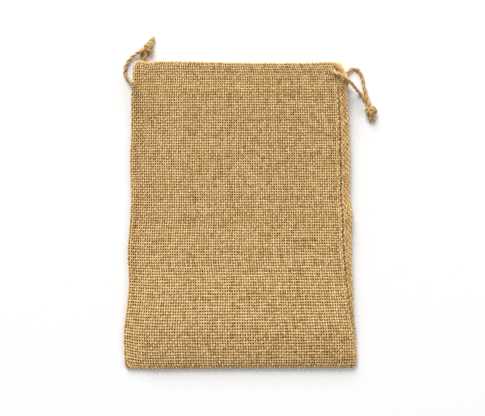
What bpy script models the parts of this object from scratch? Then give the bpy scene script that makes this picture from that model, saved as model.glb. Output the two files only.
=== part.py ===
"""A small burlap drawstring pouch, lying on its back with its mouth towards +Y.

Metres, +Z up. The origin is on the surface that the pouch lies on, under the middle of its cloth.
The cloth is one hollow body. Its front and back are sewn along the sides and the bottom, and its top is
turned in as a hem, so that a casing runs all round the mouth. Two drawstrings go round inside the casing,
one from each end, and the two ends of each are tied together in an overhand knot.
"""

import math
from collections import namedtuple

import bmesh
import bpy
from mathutils import Vector

MM = 0.001

# Driving sizes
LENGTH = 204.4 * MM  # from the bottom seam to the highest point of the mouth
CORD_RADIUS = 1.0 * MM
CLEARANCE = 0.3 * MM  # between a cord and the cloth or knot around it
HEM_RADIUS = 6.9 * MM  # half the height of the mouth, and the round of its two ends
CASING_RADIUS = 4.6 * MM  # from the middle of the mouth's height to the middle of the casing
CASING_GAP = 2 * (CORD_RADIUS + CLEARANCE)  # the casing's clear height
CASING_WIDTH = 8.0 * MM
CASING_Y = 94.2 * MM
CASING_ENDS = (-64.1 * MM, 62.0 * MM)  # where the casing starts to turn round each side
UPPER_ROW = 96.4 * MM  # the two cords lie side by side in the casing
LOWER_ROW = 92.0 * MM
FRONT_Z = HEM_RADIUS + CASING_RADIUS
BACK_Z = HEM_RADIUS - CASING_RADIUS
BOTTOM_SEAM = 3.0 * MM  # the sewn depth inside the bottom edge
BOTTOM_RISE = 45.0 * MM  # how far up from the bottom the front reaches its full height
CORNER_RADIUS = 4.0 * MM  # of the two bottom corners, seen from above
FOLD_ROUND = 0.9 * MM  # depth of the round along the mouth's folded edge
GROOVE_WIDTH = 0.9 * MM

# How finely the cloth is drawn
PANEL_STEPS = 26  # across the front, from the left edge to the seam's groove
STRIP_STEPS = 6  # from the groove to the right edge
BACK_STEPS = 19
OUTER_ROWS = 29
INNER_ROWS = 13
HEM_ROWS = (0.914, 0.9232, 0.929, 0.9345, 0.942, 0.956, 0.974, 0.99)  # fractions of the length
INNER_HEM_ROWS = (0.9232, 0.9345, 0.956, 0.974, 0.99)

# The outline seen from above, in mm: each edge and the groove of the right side seam, from bottom to top
Outline = namedtuple("Outline", "y left seam right")
OUTLINE = (
    Outline(-102.2, -77.2, 76.4, 77.9),
    Outline(-95.0, -77.5, 76.4, 78.0),
    Outline(-80.0, -78.0, 75.6, 76.9),
    Outline(-68.0, -76.7, 73.8, 75.9),
    Outline(-43.0, -74.4, 70.6, 74.8),
    Outline(-27.0, -75.2, 69.1, 74.2),
    Outline(-12.0, -74.5, 68.1, 74.4),
    Outline(0.0, -73.5, 67.9, 74.9),
    Outline(14.0, -73.1, 66.9, 73.1),
    Outline(36.0, -73.7, 66.6, 73.4),
    Outline(60.0, -72.8, 66.0, 72.6),
    Outline(78.0, -72.7, 65.2, 71.6),
    Outline(85.0, -71.7, 65.0, 71.1),
    Outline(90.2, -71.2, 64.8, 73.1),
    Outline(94.5, -71.0, 64.0, 70.1),
    Outline(98.3, -70.8, 62.5, 68.9),
    Outline(102.2, -68.6, 60.5, 66.6),
)

# The two ends seen from above, in mm: the bottom edge and the mouth's edge, from left to right
Ends = namedtuple("Ends", "x bottom top")
ENDS = (
    Ends(-78.0, -101.9, 101.5),
    Ends(-66.0, -102.2, 102.2),
    Ends(-60.0, -102.35, 100.9),
    Ends(-52.0, -102.35, 101.9),
    Ends(-30.0, -102.2, 101.6),
    Ends(0.0, -102.0, 101.1),
    Ends(42.0, -101.8, 100.8),
    Ends(57.0, -101.7, 101.2),
    Ends(78.0, -101.5, 100.7),
)

# Cross-sections from bottom to top, in mm. front is the height of the front cloth and side that of the side
# edge. The rises are how far in from an edge the front, or the back, reaches its full height or the floor.
# wall is the cloth's thickness (more where it is doubled round the casing), the side walls are the sewn
# edges, and groove is the depth of the groove along the right side seam.
Section = namedtuple("Section", "y front side left_rise right_rise back_rise wall left_wall right_wall groove")
SECTIONS = (
    Section(-102.2, 10.9, 1.8, 26.0, 12.0, 4.0, 1.1, 3.0, 3.4, 0.0),
    Section(-85.0, 10.9, 1.9, 26.0, 12.0, 4.0, 1.1, 3.0, 3.6, 0.2),
    Section(-65.0, 11.0, 2.0, 26.0, 12.0, 4.0, 1.1, 3.0, 4.2, 0.9),
    Section(-25.0, 11.1, 2.1, 25.0, 12.5, 4.0, 1.1, 3.0, 6.6, 1.3),
    Section(30.0, 11.2, 2.3, 23.0, 13.0, 4.0, 1.1, 3.0, 7.8, 1.2),
    Section(60.0, 11.3, 2.8, 20.0, 12.0, 4.4, 1.1, 3.0, 7.6, 1.1),
    Section(80.0, 11.5, 4.6, 13.0, 10.0, 5.2, 1.1, 3.4, 6.6, 0.8),
    Section(86.5, 11.9, 6.3, 8.0, 8.0, 6.4, 2.0, 4.6, 7.3, 0.2),
    Section(89.0, 13.8, 6.9, 6.9, 6.9, 6.9, 4.6, 4.8, 8.4, 0.0),
    Section(90.2, 13.8, 6.9, 6.9, 6.9, 6.9, 4.6, 4.8, 8.8, 0.0),
    Section(94.5, 13.8, 6.9, 6.9, 6.9, 6.9, 4.6, 4.6, 5.8, 0.0),
    Section(98.3, 13.8, 6.9, 6.9, 6.9, 6.9, 4.6, 4.4, 4.6, 0.0),
    Section(100.2, 13.8, 6.9, 6.9, 6.9, 6.9, 4.6, 3.6, 3.6, 0.0),
    Section(102.2, 12.6, 6.9, 6.9, 6.9, 6.9, 2.2, 2.4, 2.4, 0.0),
)

# Soft folds in the front cloth, in mm and degrees: a ridge has a positive height and a trough a negative one
Fold = namedtuple("Fold", "x y heading length width height")
FOLDS = (
    Fold(-52.0, 40.0, 88.0, 46.0, 9.0, -0.4),
    Fold(-14.0, 58.0, 93.0, 40.0, 11.0, -0.4),
    Fold(22.0, 20.0, 84.0, 60.0, 13.0, 0.5),
    Fold(-30.0, -38.0, 100.0, 42.0, 10.0, 0.4),
    Fold(-56.0, -58.0, 70.0, 30.0, 10.0, -0.4),
    Fold(40.0, -50.0, 78.0, 40.0, 12.0, -0.4),
    Fold(52.0, 66.0, 128.0, 16.0, 5.0, 0.5),
    Fold(58.0, 80.0, 150.0, 10.0, 3.5, -0.6),
    Fold(-58.0, 82.0, 60.0, 10.0, 4.0, -0.4),
)
RIPPLES = ((31.0, 0.6, 0.12), (47.0, 2.1, 0.1), (23.0, 4.0, 0.08))  # wavelength, phase and height, in mm

# Free ends of the cords, in mm, from the knot to the casing, chosen along the cords' middle line
LEFT_CORD_LOOP = (
    (-64.7, 109.9, 3.9), (-66.6, 108.8, 3.3), (-69.3, 107.2, 2.0), (-72.9, 104.4, 1.1), (-75.6, 100.3, 1.0),
    (-76.6, 97.2, 1.0), (-76.6, 94.6, 1.0), (-75.5, 92.1, 1.1), (-73.9, 90.0, 1.7), (-72.1, 88.6, 3.2),
    (-70.1, 88.2, 5.6), (-68.6, 88.7, 8.2), (-66.6, 89.9, 10.4), (-63.4, 91.2, 11.4), (-57.5, 92.0, 11.5),
)
LEFT_CORD_UPRIGHT = (
    (-62.9, 108.9, 2.5), (-63.3, 106.2, 2.1), (-63.6, 103.4, 2.1), (-63.5, 100.6, 2.3), (-61.9, 97.9, 2.3),
    (-58.6, 96.6, 2.3), (-54.5, 96.4, 2.3),
)
RIGHT_CORD_FRONT = (
    (85.0, 73.9, 1.3), (83.9, 76.2, 1.0), (82.7, 78.3, 1.0), (81.0, 80.4, 1.2), (79.2, 82.1, 2.3),
    (77.1, 84.1, 4.8), (74.9, 86.1, 8.4), (72.8, 88.0, 12.1), (70.2, 89.9, 14.6), (66.8, 91.9, 15.3),
    (63.6, 93.4, 14.5), (60.6, 94.8, 12.8), (57.4, 95.9, 11.7), (53.5, 96.4, 11.5),
)
RIGHT_CORD_BACK = (
    (86.2, 73.8, 3.5), (85.4, 76.0, 3.1), (84.8, 78.2, 2.3), (84.1, 80.6, 1.5), (83.4, 83.3, 1.0),
    (82.4, 88.0, 1.0), (81.5, 92.0, 1.0), (80.1, 95.4, 1.0), (78.5, 97.2, 1.0), (76.3, 97.8, 1.0),
    (74.2, 97.3, 1.0), (72.3, 95.7, 1.1), (70.4, 93.8, 1.4), (66.4, 92.1, 2.1), (61.5, 92.0, 2.3),
    (57.0, 92.0, 2.3),
)
Exit = namedtuple("Exit", "name cord outside inside")  # the cloth has a hole along the cord between two places
EXITS = (
    Exit("loop", "left", LEFT_CORD_LOOP[8], LEFT_CORD_LOOP[-1]),
    Exit("upright", "left", LEFT_CORD_UPRIGHT[1], LEFT_CORD_UPRIGHT[-1]),
    Exit("front", "right", RIGHT_CORD_FRONT[9], RIGHT_CORD_FRONT[-1]),
    Exit("back", "right", RIGHT_CORD_BACK[11], RIGHT_CORD_BACK[-1]),
)

# Knots, in mm: a core, and the turns and tails of cord round it
Turn = namedtuple("Turn", "radius points")
Core = namedtuple("Core", "x y z half_x half_y half_z")
LEFT_KNOT_CORE = Core(-61.0, 111.5, 2.7, 2.5, 2.6, 2.3)
LEFT_KNOT_TURNS = (
    Turn(1.1, ((-63, 110.6, 2.2), (-62.9, 112, 3.6), (-61.4, 113, 4.5), (-59.4, 112.2, 4), (-58.9, 111, 2.4))),
    Turn(1.1, ((-62.4, 113, 2.2), (-61.6, 114.2, 3), (-60, 114.2, 3.6), (-58.9, 112.9, 3), (-59.2, 111.8, 2))),
    Turn(1.1, ((-61.6, 110.6, 3.4), (-60.4, 109.9, 4.2), (-59.2, 109.8, 3.2), (-59.4, 110.4, 2))),
    Turn(1.1, ((-60.2, 110.8, 2.6), (-59.9, 109, 2.2), (-60.2, 107.6, 1.5), (-60.5, 106.9, 1.3))),
    Turn(0.9, ((-63.2, 110.8, 1.6), (-64.8, 109.3, 1.1), (-65.7, 107.6, 1), (-65.9, 106, 1))),
    Turn(1.05, ((-60.8, 113.4, 2.4), (-60, 115, 2.4), (-59, 116.6, 1.9), (-58, 118, 1.4))),
    Turn(1.05, ((-59.9, 113, 2.6), (-58.8, 114.8, 2), (-57.9, 116.6, 1.5), (-57.4, 118.2, 1.3))),
)
RIGHT_KNOT_CORE = Core(87.2, 69.6, 2.7, 2.9, 2.7, 2.4)
RIGHT_KNOT_TURNS = (
    Turn(1.15, ((85.6, 72.2, 2.6), (84.5, 71.4, 3.3), (84.1, 69.8, 3.4), (84.6, 67.9, 3), (86, 66.7, 2.2))),
    Turn(1.1, ((86.4, 71.6, 3.2), (87.8, 72.2, 4), (89.3, 71.4, 3.8), (90.4, 69.9, 3), (90.5, 68, 1.8))),
    Turn(1.1, ((85.7, 70.6, 3.9), (87.2, 71, 4.8), (88.8, 69.9, 4.5), (89.7, 68.6, 3))),
    Turn(1.0, ((86.2, 69.4, 3.9), (86.9, 68.2, 4.2), (87.8, 67.4, 3.4))),
    Turn(1.1, ((87.9, 69, 3.4), (87.5, 66.6, 2.8), (87, 64.6, 1.8), (86.7, 63, 1.3))),
    Turn(1.1, ((88.7, 68.8, 3), (89, 66.6, 2.4), (89.2, 64.6, 1.6), (89.1, 63.1, 1.3))),
)
KNOT_VOXEL = 0.32 * MM
KNOT_KEEP = 0.2  # share of the faces kept in a knot after its turns are fused


def smooth_read(table, name, at):
    """A column's value, in metres, at a place given in metres, on a curve through the rows with no overshoot."""
    at = min(max(at / MM, table[0][0]), table[-1][0])
    row = next(i for i in range(1, len(table)) if at <= table[i][0])

    def rise(i):
        return (getattr(table[i], name) - getattr(table[i - 1], name)) / (table[i][0] - table[i - 1][0])

    def slope(i):
        if i == 0 or i == len(table) - 1:
            return rise(max(i, 1))
        before, after = rise(i), rise(i + 1)
        return 2 * before * after / (before + after) if before * after > 0 else 0.0

    low, high = table[row - 1], table[row]
    step = high[0] - low[0]
    t = (at - low[0]) / step
    value = (
        (1 + 2 * t) * (1 - t) ** 2 * getattr(low, name)
        + t * (1 - t) ** 2 * step * slope(row - 1)
        + t * t * (3 - 2 * t) * getattr(high, name)
        - t * t * (1 - t) * step * slope(row)
    )
    return value * MM


def ease(distance, reach):
    """A quarter ellipse: 0 at an edge, 1 once the distance from it is the reach."""
    t = min(max(distance / reach, 0.0), 1.0)
    return math.sqrt(t * (2 - t))


def unevenness(x, y):
    """The height that soft folds and ripples add to the front cloth."""
    height = 0.0
    for fold in FOLDS:
        heading = math.radians(fold.heading)
        dx, dy = x / MM - fold.x, y / MM - fold.y
        on = dx * math.cos(heading) + dy * math.sin(heading)
        off = dy * math.cos(heading) - dx * math.sin(heading)
        height += fold.height * math.exp(-((on / fold.length) ** 2) - (off / fold.width) ** 2)
    for wavelength, phase, size in RIPPLES:
        height += size * math.sin((x / MM + 0.35 * y / MM) * math.tau / wavelength + phase)
    return height * MM


def columns(seam_share):
    """Places across the front as shares of its width, closer together at the edges and at the seam's groove."""
    panel = [seam_share * (1 - math.cos(math.pi * i / PANEL_STEPS)) / 2 for i in range(PANEL_STEPS)]
    strip = [(1 - math.cos(math.pi * i / STRIP_STEPS)) / 2 for i in range(STRIP_STEPS + 1)]
    return panel + [seam_share + (1 - seam_share) * share for share in strip]


def cloth_ring(along, depth, drop=0.0):
    """One closed section of the cloth. along runs from 0 at the bottom to 1 at the mouth, and depth from 0 on
    the outer face to 1 on the inner face. drop lowers the whole section from there, towards the bottom."""
    place = (along - 0.5) * LENGTH
    outline = {name: smooth_read(OUTLINE, name, place) for name in Outline._fields[1:]}
    section = {name: smooth_read(SECTIONS, name, place) for name in Section._fields[1:]}
    pull = CORNER_RADIUS * (1 - ease(along * LENGTH, CORNER_RADIUS))
    left = outline["left"] + pull + depth * section["left_wall"]
    right = outline["right"] - pull - depth * section["right_wall"]
    seam_share = (outline["seam"] - outline["left"]) / (outline["right"] - outline["left"])
    top = section["front"] - depth * section["wall"]
    floor = depth * section["wall"]
    side = section["side"]
    body = 1 - min(max((place - 70 * MM) / (16 * MM), 0.0), 1.0)  # 1 over the body, 0 over the hem
    front_left = section["left_rise"] - floor
    front_right = section["right_rise"] - floor
    back_rise = section["back_rise"] - floor

    def point(share, front):
        x = left + share * (right - left)
        low = smooth_read(ENDS, "bottom", x) + depth * BOTTOM_SEAM
        y = low + along * (smooth_read(ENDS, "top", x) - low) - drop
        from_bottom = along * LENGTH
        if not front:
            fall = ease(x - left, back_rise) * ease(right - x, back_rise) * ease(from_bottom, back_rise)
            return Vector((x, y, side + (floor - side) * fall))
        rise = ease(x - left, front_left) * ease(right - x, front_right)
        rise *= ease(from_bottom, BOTTOM_RISE - depth * BOTTOM_SEAM)
        z = side + (top - side + body * unevenness(x, y)) * rise
        off = (x - outline["seam"]) / GROOVE_WIDTH
        return Vector((x, y, z - (1 - depth) * section["groove"] * math.exp(-off * off)))

    front = [point(share, True) for share in columns(seam_share)]
    back = [point((1 + math.cos(math.pi * i / BACK_STEPS)) / 2, False) for i in range(1, BACK_STEPS)]
    return front + back


def body_rows(count):
    """Places along the body up to the hem, closer together towards the bottom edge."""
    first, last = 0.0008, 0.905
    return [first + (last - first) * (1 - math.cos(math.pi / 2 * i / count)) for i in range(count + 1)]


def mesh_object(name, bm, material=None):
    bmesh.ops.recalc_face_normals(bm, faces=bm.faces)
    mesh = bpy.data.meshes.new(name)
    bm.to_mesh(mesh)
    bm.free()
    if material:
        mesh.materials.append(material)
    made = bpy.data.objects.new(name, mesh)
    bpy.context.scene.collection.objects.link(made)
    return made


def skin(bm, rings, closed=False):
    """Quads between rings of the same number of points. The last ring joins the first where closed is true."""
    rows = [[bm.verts.new(point) for point in ring] for ring in rings]
    pairs = list(zip(rows, rows[1:])) + ([(rows[-1], rows[0])] if closed else [])
    for low, high in pairs:
        for i in range(len(low)):
            bm.faces.new((low[i - 1], low[i], high[i], high[i - 1]))
    if not closed:
        bm.faces.new(rows[0])
        bm.faces.new(rows[-1])
    return rows


def make_cutter(name, bm):
    cutter = mesh_object(name, bm)
    cutter.hide_render = True
    cutter.display_type = "WIRE"
    return cutter


def casing_cutter():
    """The casing's clear space: a flat band with round edges that runs all round the mouth."""
    half, end = CASING_GAP / 2, CASING_WIDTH / 2 - CASING_GAP / 2
    arc = [math.pi * i / 5 for i in range(6)]
    outline = [(end + half * math.sin(a), half * math.cos(a)) for a in arc]
    outline += [(-end - half * math.sin(a), -half * math.cos(a)) for a in arc]
    bend = [math.pi * i / 12 for i in range(13)]
    rings = []
    for centre, turn in ((CASING_ENDS[1], 1), (CASING_ENDS[0], -1)):
        for angle in bend:
            out = Vector((turn * math.sin(angle), 0, turn * math.cos(angle)))
            middle = Vector((centre, CASING_Y, HEM_RADIUS))
            rings.append([middle + out * (CASING_RADIUS + off) + Vector((0, width, 0)) for width, off in outline])
    bm = bmesh.new()
    skin(bm, rings, closed=True)
    return make_cutter("casing_space", bm)


def route(points):
    """Route points in millimetres as vectors in metres."""
    return [Vector(point) * MM for point in points]


def side_turn(end, front_row, back_row):
    """The half circle by which a cord goes round one end of the casing, from the front to the back."""
    centre, turn = CASING_ENDS[end], (-1, 1)[end]
    points = []
    for i in range(7):
        angle = math.pi * i / 6
        points.append(
            Vector((
                centre + turn * CASING_RADIUS * math.sin(angle),
                front_row + (back_row - front_row) * i / 6,
                HEM_RADIUS + CASING_RADIUS * math.cos(angle),
            ))
        )
    return points


def straight(row, height, x_from, x_to):
    """Points between the ends of a straight run along the casing."""
    return [Vector((x_from + (x_to - x_from) * share, row, height)) for share in (0.03, 0.1, 0.5, 0.9, 0.97)]


def left_cord_route():
    loop, upright = route(LEFT_CORD_LOOP), route(LEFT_CORD_UPRIGHT)
    turn = side_turn(1, LOWER_ROW, UPPER_ROW)
    front = straight(LOWER_ROW, FRONT_Z, loop[-1].x, turn[0].x)
    back = straight(UPPER_ROW, BACK_Z, turn[-1].x, upright[-1].x)
    return loop + front + turn + back + upright[::-1]


def right_cord_route():
    front_end, back_end = route(RIGHT_CORD_FRONT), route(RIGHT_CORD_BACK)
    turn = side_turn(0, UPPER_ROW, LOWER_ROW)
    front = straight(UPPER_ROW, FRONT_Z, front_end[-1].x, turn[0].x)
    back = straight(LOWER_ROW, BACK_Z, turn[-1].x, back_end[-1].x)
    return front_end + front + turn + back + back_end[::-1]


def smooth_curve(points, steps=16):
    """A fine polyline on the centripetal Catmull-Rom curve through the points."""
    ghosts = [2 * points[0] - points[1]] + points + [2 * points[-1] - points[-2]]
    fine = []
    for p0, p1, p2, p3 in zip(ghosts, ghosts[1:], ghosts[2:], ghosts[3:]):
        d1, d2, d3 = ((b - a).length ** 0.5 for a, b in ((p0, p1), (p1, p2), (p2, p3)))
        m1 = (p1 - p0) / d1 - (p2 - p0) / (d1 + d2) + (p2 - p1) / d2
        m2 = (p2 - p1) / d2 - (p3 - p1) / (d2 + d3) + (p3 - p2) / d3
        for i in range(steps):
            t = i / steps
            fine.append(
                (1 + 2 * t) * (1 - t) ** 2 * p1 + t * (1 - t) ** 2 * d2 * m1
                + t * t * (3 - 2 * t) * p2 - t * t * (1 - t) * d2 * m2
            )
    return fine + [points[-1]]


def cord_points(points, longest=6.0 * CORD_RADIUS, sharpest=math.radians(17)):
    """Points on the smooth curve, three diameters apart where it is straight and closer round a bend."""
    fine = smooth_curve(points)
    kept = [fine[0]]
    travelled = turned = 0.0
    for before, here, after in zip(fine, fine[1:], fine[2:]):
        here.z = max(here.z, CORD_RADIUS)
        travelled += (here - before).length
        turned += (here - before).angle(after - here)
        if travelled >= longest or turned >= sharpest:
            kept.append(here)
            travelled = turned = 0.0
    return kept + [fine[-1]]


def tube_rings(points, radius, sides):
    """Rings of a tube round a polyline, with the ring's turn carried along so that it doesn't twist."""
    rings = []
    across = (points[1] - points[0]).orthogonal().normalized()
    for i, point in enumerate(points):
        heading = (points[min(i + 1, len(points) - 1)] - points[max(i - 1, 0)]).normalized()
        across = (across - heading * across.dot(heading)).normalized()
        other = heading.cross(across)
        angles = [math.tau * k / sides for k in range(sides)]
        rings.append([point + radius * (across * math.cos(a) + other * math.sin(a)) for a in angles])
    return rings


def hole_cutter(name, points, sides=10):
    """The hole that a cord passes through, a clearance wider than the cord all round."""
    bm = bmesh.new()
    skin(bm, tube_rings(points, (CORD_RADIUS + CLEARANCE) / math.cos(math.pi / sides), sides))
    return make_cutter(name, bm)


def cut(target, cutter):
    boolean = target.modifiers.new(cutter.name, "BOOLEAN")
    boolean.operation = "DIFFERENCE"
    boolean.solver = "EXACT"
    boolean.object = cutter


def exit_points(cord, leaving):
    """The stretch of a cord that runs from just outside the cloth to well inside the casing."""
    ends = [min(range(len(cord)), key=lambda i: (cord[i] - place).length) for place in route(leaving[2:])]
    return cord[min(ends):max(ends) + 1]


def make_material(name, hex_colour, roughness):
    material = bpy.data.materials.new(name)
    material.use_nodes = True
    shader = material.node_tree.nodes["Principled BSDF"]
    channels = [int(hex_colour[i:i + 2], 16) / 255 for i in (1, 3, 5)]
    linear = [c / 12.92 if c <= 0.04045 else ((c + 0.055) / 1.055) ** 2.4 for c in channels]
    shader.inputs["Base Color"].default_value = (*linear, 1)
    shader.inputs["Roughness"].default_value = roughness
    shader.inputs["Metallic"].default_value = 0.0
    material.diffuse_color = (*linear, 1)
    return material


def make_pouch(cords):
    rings = [cloth_ring(row, 0.0) for row in body_rows(OUTER_ROWS)]
    rings += [cloth_ring(row, 0.0) for row in HEM_ROWS]
    for depth, drop in ((0.0, 1.0), (0.18, 0.3), (0.5, 0.0), (0.82, 0.3), (1.0, 1.0)):
        rings.append(cloth_ring(1.0, depth, drop * FOLD_ROUND))
    rings += [cloth_ring(row, 1.0) for row in reversed(INNER_HEM_ROWS)]
    rings += [cloth_ring(row, 1.0) for row in reversed(body_rows(INNER_ROWS))]
    bm = bmesh.new()
    skin(bm, rings)
    bmesh.ops.triangulate(bm, faces=bm.faces)
    pouch = mesh_object("pouch", bm, make_material("burlap", "#c3a16c", 0.95))
    cut(pouch, casing_cutter())
    for leaving in EXITS:
        cut(pouch, hole_cutter(f"{leaving.name}_hole", exit_points(cords[leaving.cord], leaving)))
    pouch.data.shade_smooth()
    pouch.data.set_sharp_from_angle(angle=math.radians(50))
    return pouch


def make_cord(name, points, material):
    curve = bpy.data.curves.new(name, "CURVE")
    curve.dimensions = "3D"
    curve.bevel_depth = CORD_RADIUS
    curve.bevel_resolution = 2
    curve.use_fill_caps = True
    curve.materials.append(material)
    spline = curve.splines.new("POLY")
    spline.points.add(len(points) - 1)
    for target, point in zip(spline.points, points):
        target.co = (*point, 1)
    cord = bpy.data.objects.new(name, curve)
    bpy.context.scene.collection.objects.link(cord)
    length = sum((b - a).length for a, b in zip(points, points[1:]))
    print(f"{name}: {len(points)} points, {length / MM:.1f} mm long")
    return cord


def make_knot(name, core, turns, cord_ends, material):
    """The core and its turns fused into one body, with a socket for each cord that runs into it."""
    bm = bmesh.new()
    bmesh.ops.create_icosphere(bm, subdivisions=3, radius=1.0)
    bmesh.ops.scale(bm, vec=Vector(core[3:]) * MM, verts=bm.verts)
    bmesh.ops.translate(bm, vec=Vector(core[:3]) * MM, verts=bm.verts)
    for turn in turns:
        skin(bm, tube_rings(smooth_curve(route(turn.points), 6), turn.radius * MM, 12))
    knot = mesh_object(name, bm, material)
    fuse = knot.modifiers.new("fuse", "REMESH")
    fuse.mode = "VOXEL"
    fuse.voxel_size = KNOT_VOXEL
    thin = knot.modifiers.new("thin", "DECIMATE")
    thin.ratio = KNOT_KEEP
    for number, end in enumerate(cord_ends):
        tip = end[0] + (end[0] - end[1]).normalized() * CLEARANCE
        cut(knot, hole_cutter(f"{name}_socket_{number}", [tip] + end[:4]))
    knot.data.shade_smooth()
    return knot


def main():
    for old in list(bpy.data.objects):
        bpy.data.objects.remove(old, do_unlink=True)
    cords = {"left": cord_points(left_cord_route()), "right": cord_points(right_cord_route())}
    make_pouch(cords)
    knots = {"left": (LEFT_KNOT_CORE, LEFT_KNOT_TURNS), "right": (RIGHT_KNOT_CORE, RIGHT_KNOT_TURNS)}
    for side, cord in cords.items():
        make_cord(f"drawstring_{side}", cord, make_material(f"jute_cord_{side}", "#b98f57", 0.9))
        core, turns = knots[side]
        material = make_material(f"jute_knot_{side}", "#b68c55", 0.9)
        make_knot(f"knot_{side}", core, turns, (cord, cord[::-1]), material)


main()
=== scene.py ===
# %% [markdown]
# # A burlap drawstring pouch
# The object is a small gift pouch of plain-woven jute, lying on its back. One piece of cloth makes the bag,
# its top is turned in as a hem, and two twisted jute cords run round inside the hem and end in knots.
# Cloth this coarse is seen thread by thread, so it is woven here from real yarns instead of being painted.
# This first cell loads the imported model, which gives the frame that every piece is fitted to.

import math
from collections import namedtuple

import bmesh
import bpy
import numpy as np
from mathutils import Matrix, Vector


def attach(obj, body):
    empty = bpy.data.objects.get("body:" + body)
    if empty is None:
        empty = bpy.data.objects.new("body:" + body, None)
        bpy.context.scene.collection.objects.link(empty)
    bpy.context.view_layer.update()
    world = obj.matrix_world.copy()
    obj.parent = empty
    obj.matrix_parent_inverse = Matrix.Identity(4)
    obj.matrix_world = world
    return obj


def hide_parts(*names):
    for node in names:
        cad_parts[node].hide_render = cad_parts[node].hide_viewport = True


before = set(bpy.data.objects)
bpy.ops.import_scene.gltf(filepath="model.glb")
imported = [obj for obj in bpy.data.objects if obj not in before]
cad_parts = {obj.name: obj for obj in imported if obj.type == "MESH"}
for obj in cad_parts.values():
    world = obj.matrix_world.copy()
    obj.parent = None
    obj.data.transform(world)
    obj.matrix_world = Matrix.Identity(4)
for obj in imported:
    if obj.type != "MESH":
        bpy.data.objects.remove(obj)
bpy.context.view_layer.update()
print("packed nodes:", sorted(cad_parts))


# %% [markdown]
# Sizes are in millimetres, as on a drawing, and are turned to metres where a mesh is made. Colours are sRGB hex
# values, as a colour picker shows them, and one function turns them to Blender's linear light.

# %% Units and colours
MM = 0.001
BODY = "root"  # a pouch has no joints, so every piece rides on the one body
VECTOR = "FLOAT_VECTOR"


def linear(hex_colour):
    """An sRGB hex colour as linear red, green, blue and alpha."""
    channels = [int(hex_colour[i : i + 2], 16) / 255 for i in (1, 3, 5)]
    return (*(c / 12.92 if c <= 0.04045 else ((c + 0.055) / 1.055) ** 2.4 for c in channels), 1.0)


print("the body that all rides on:", BODY)


# %% [markdown]
# The camera looks straight down, as in a catalogue picture of a flat-lying bag. A long lens keeps the sides
# from showing. The picture's width covers 321.8 mm at the height of the cloth, which was worked out from the
# pouch's size, and the pouch lies a little to the left of the middle.

# %% Camera
LENS = 100.0  # mm, on a 36 mm wide sensor
SENSOR = 36.0
PICTURE_WIDTH = 321.8 * MM
PICTURE_MIDDLE = (1.8 * MM, 5.0 * MM)
FOCUS_HEIGHT = 5.0 * MM


def put(name, data):
    """A new object in the scene."""
    made = bpy.data.objects.new(name, data)
    bpy.context.scene.collection.objects.link(made)
    return made


camera_data = bpy.data.cameras.new("camera")
camera_data.lens = LENS
camera_data.sensor_width = SENSOR
camera = put("camera", camera_data)
camera.location = (*PICTURE_MIDDLE, FOCUS_HEIGHT + PICTURE_WIDTH * LENS / SENSOR)
bpy.context.scene.camera = camera
print(f"camera {camera.location.z:.3f} m above the floor")

# %% [markdown]
# The surface under the pouch is seamless pale paper. It is lit to a little over white, so that it clears to the
# edges as in the photograph, and only the soft shadow below the cloth shows. One wide soft box stands low beyond
# the mouth, which gives that shadow its length, and a weaker one at the right and a pale sky fill the shadows.
# The yarns are only two or three pixels apart in the picture. The denoiser takes a pattern that fine for noise
# and smears it, so it stays off and the picture keeps a little grain.

# %% Floor
FLOOR_SIZE = 6.0
scene = bpy.context.scene
scene.view_settings.view_transform = "Standard"
scene.cycles.use_denoising = False


def new_material(name, values):
    """A material, with these values for its shader's inputs."""
    made = bpy.data.materials.new(name)
    made.use_nodes = True
    for socket, value in values.items():
        made.node_tree.nodes["Principled BSDF"].inputs[socket].default_value = value
    return made


bm = bmesh.new()
bmesh.ops.create_grid(bm, x_segments=1, y_segments=1, size=FLOOR_SIZE / 2)
floor_mesh = bpy.data.meshes.new("floor")
bm.to_mesh(floor_mesh)
bm.free()
PAPER = {"Base Color": linear("#e0e0df"), "Roughness": 0.9, "Specular IOR Level": 0.2}
floor_mesh.materials.append(new_material("white_paper_sweep", PAPER))
floor = put("floor", floor_mesh)
print(f"floor {floor.dimensions.x:.1f} m wide")

# %% Light
SKY_STRENGTH = 0.46
world = bpy.data.worlds.new("studio")
world.use_nodes = True
sky = world.node_tree.nodes["Background"].inputs
sky["Color"].default_value = (1.0, 1.0, 1.0, 1.0)
sky["Strength"].default_value = SKY_STRENGTH
scene.world = world

Lamp = namedtuple("Lamp", "name place width height power")
LAMPS = (
    Lamp("soft_box", (-0.8, 3.0, 1.8), 1.8, 2.25, 212.0),
    Lamp("fill", (3.4, 0.8, 3.0), 2.4, 2.4, 58.0),
)
for lamp in LAMPS:
    light = bpy.data.lights.new(lamp.name, "AREA")
    light.shape = "RECTANGLE"
    light.size, light.size_y = lamp.width, lamp.height
    light.energy = lamp.power
    holder = put(lamp.name, light)
    holder.location = lamp.place
    holder.rotation_euler = (-Vector(lamp.place)).to_track_quat("-Z", "Y").to_euler()
print("lamps:", [lamp.name for lamp in LAMPS])
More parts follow.
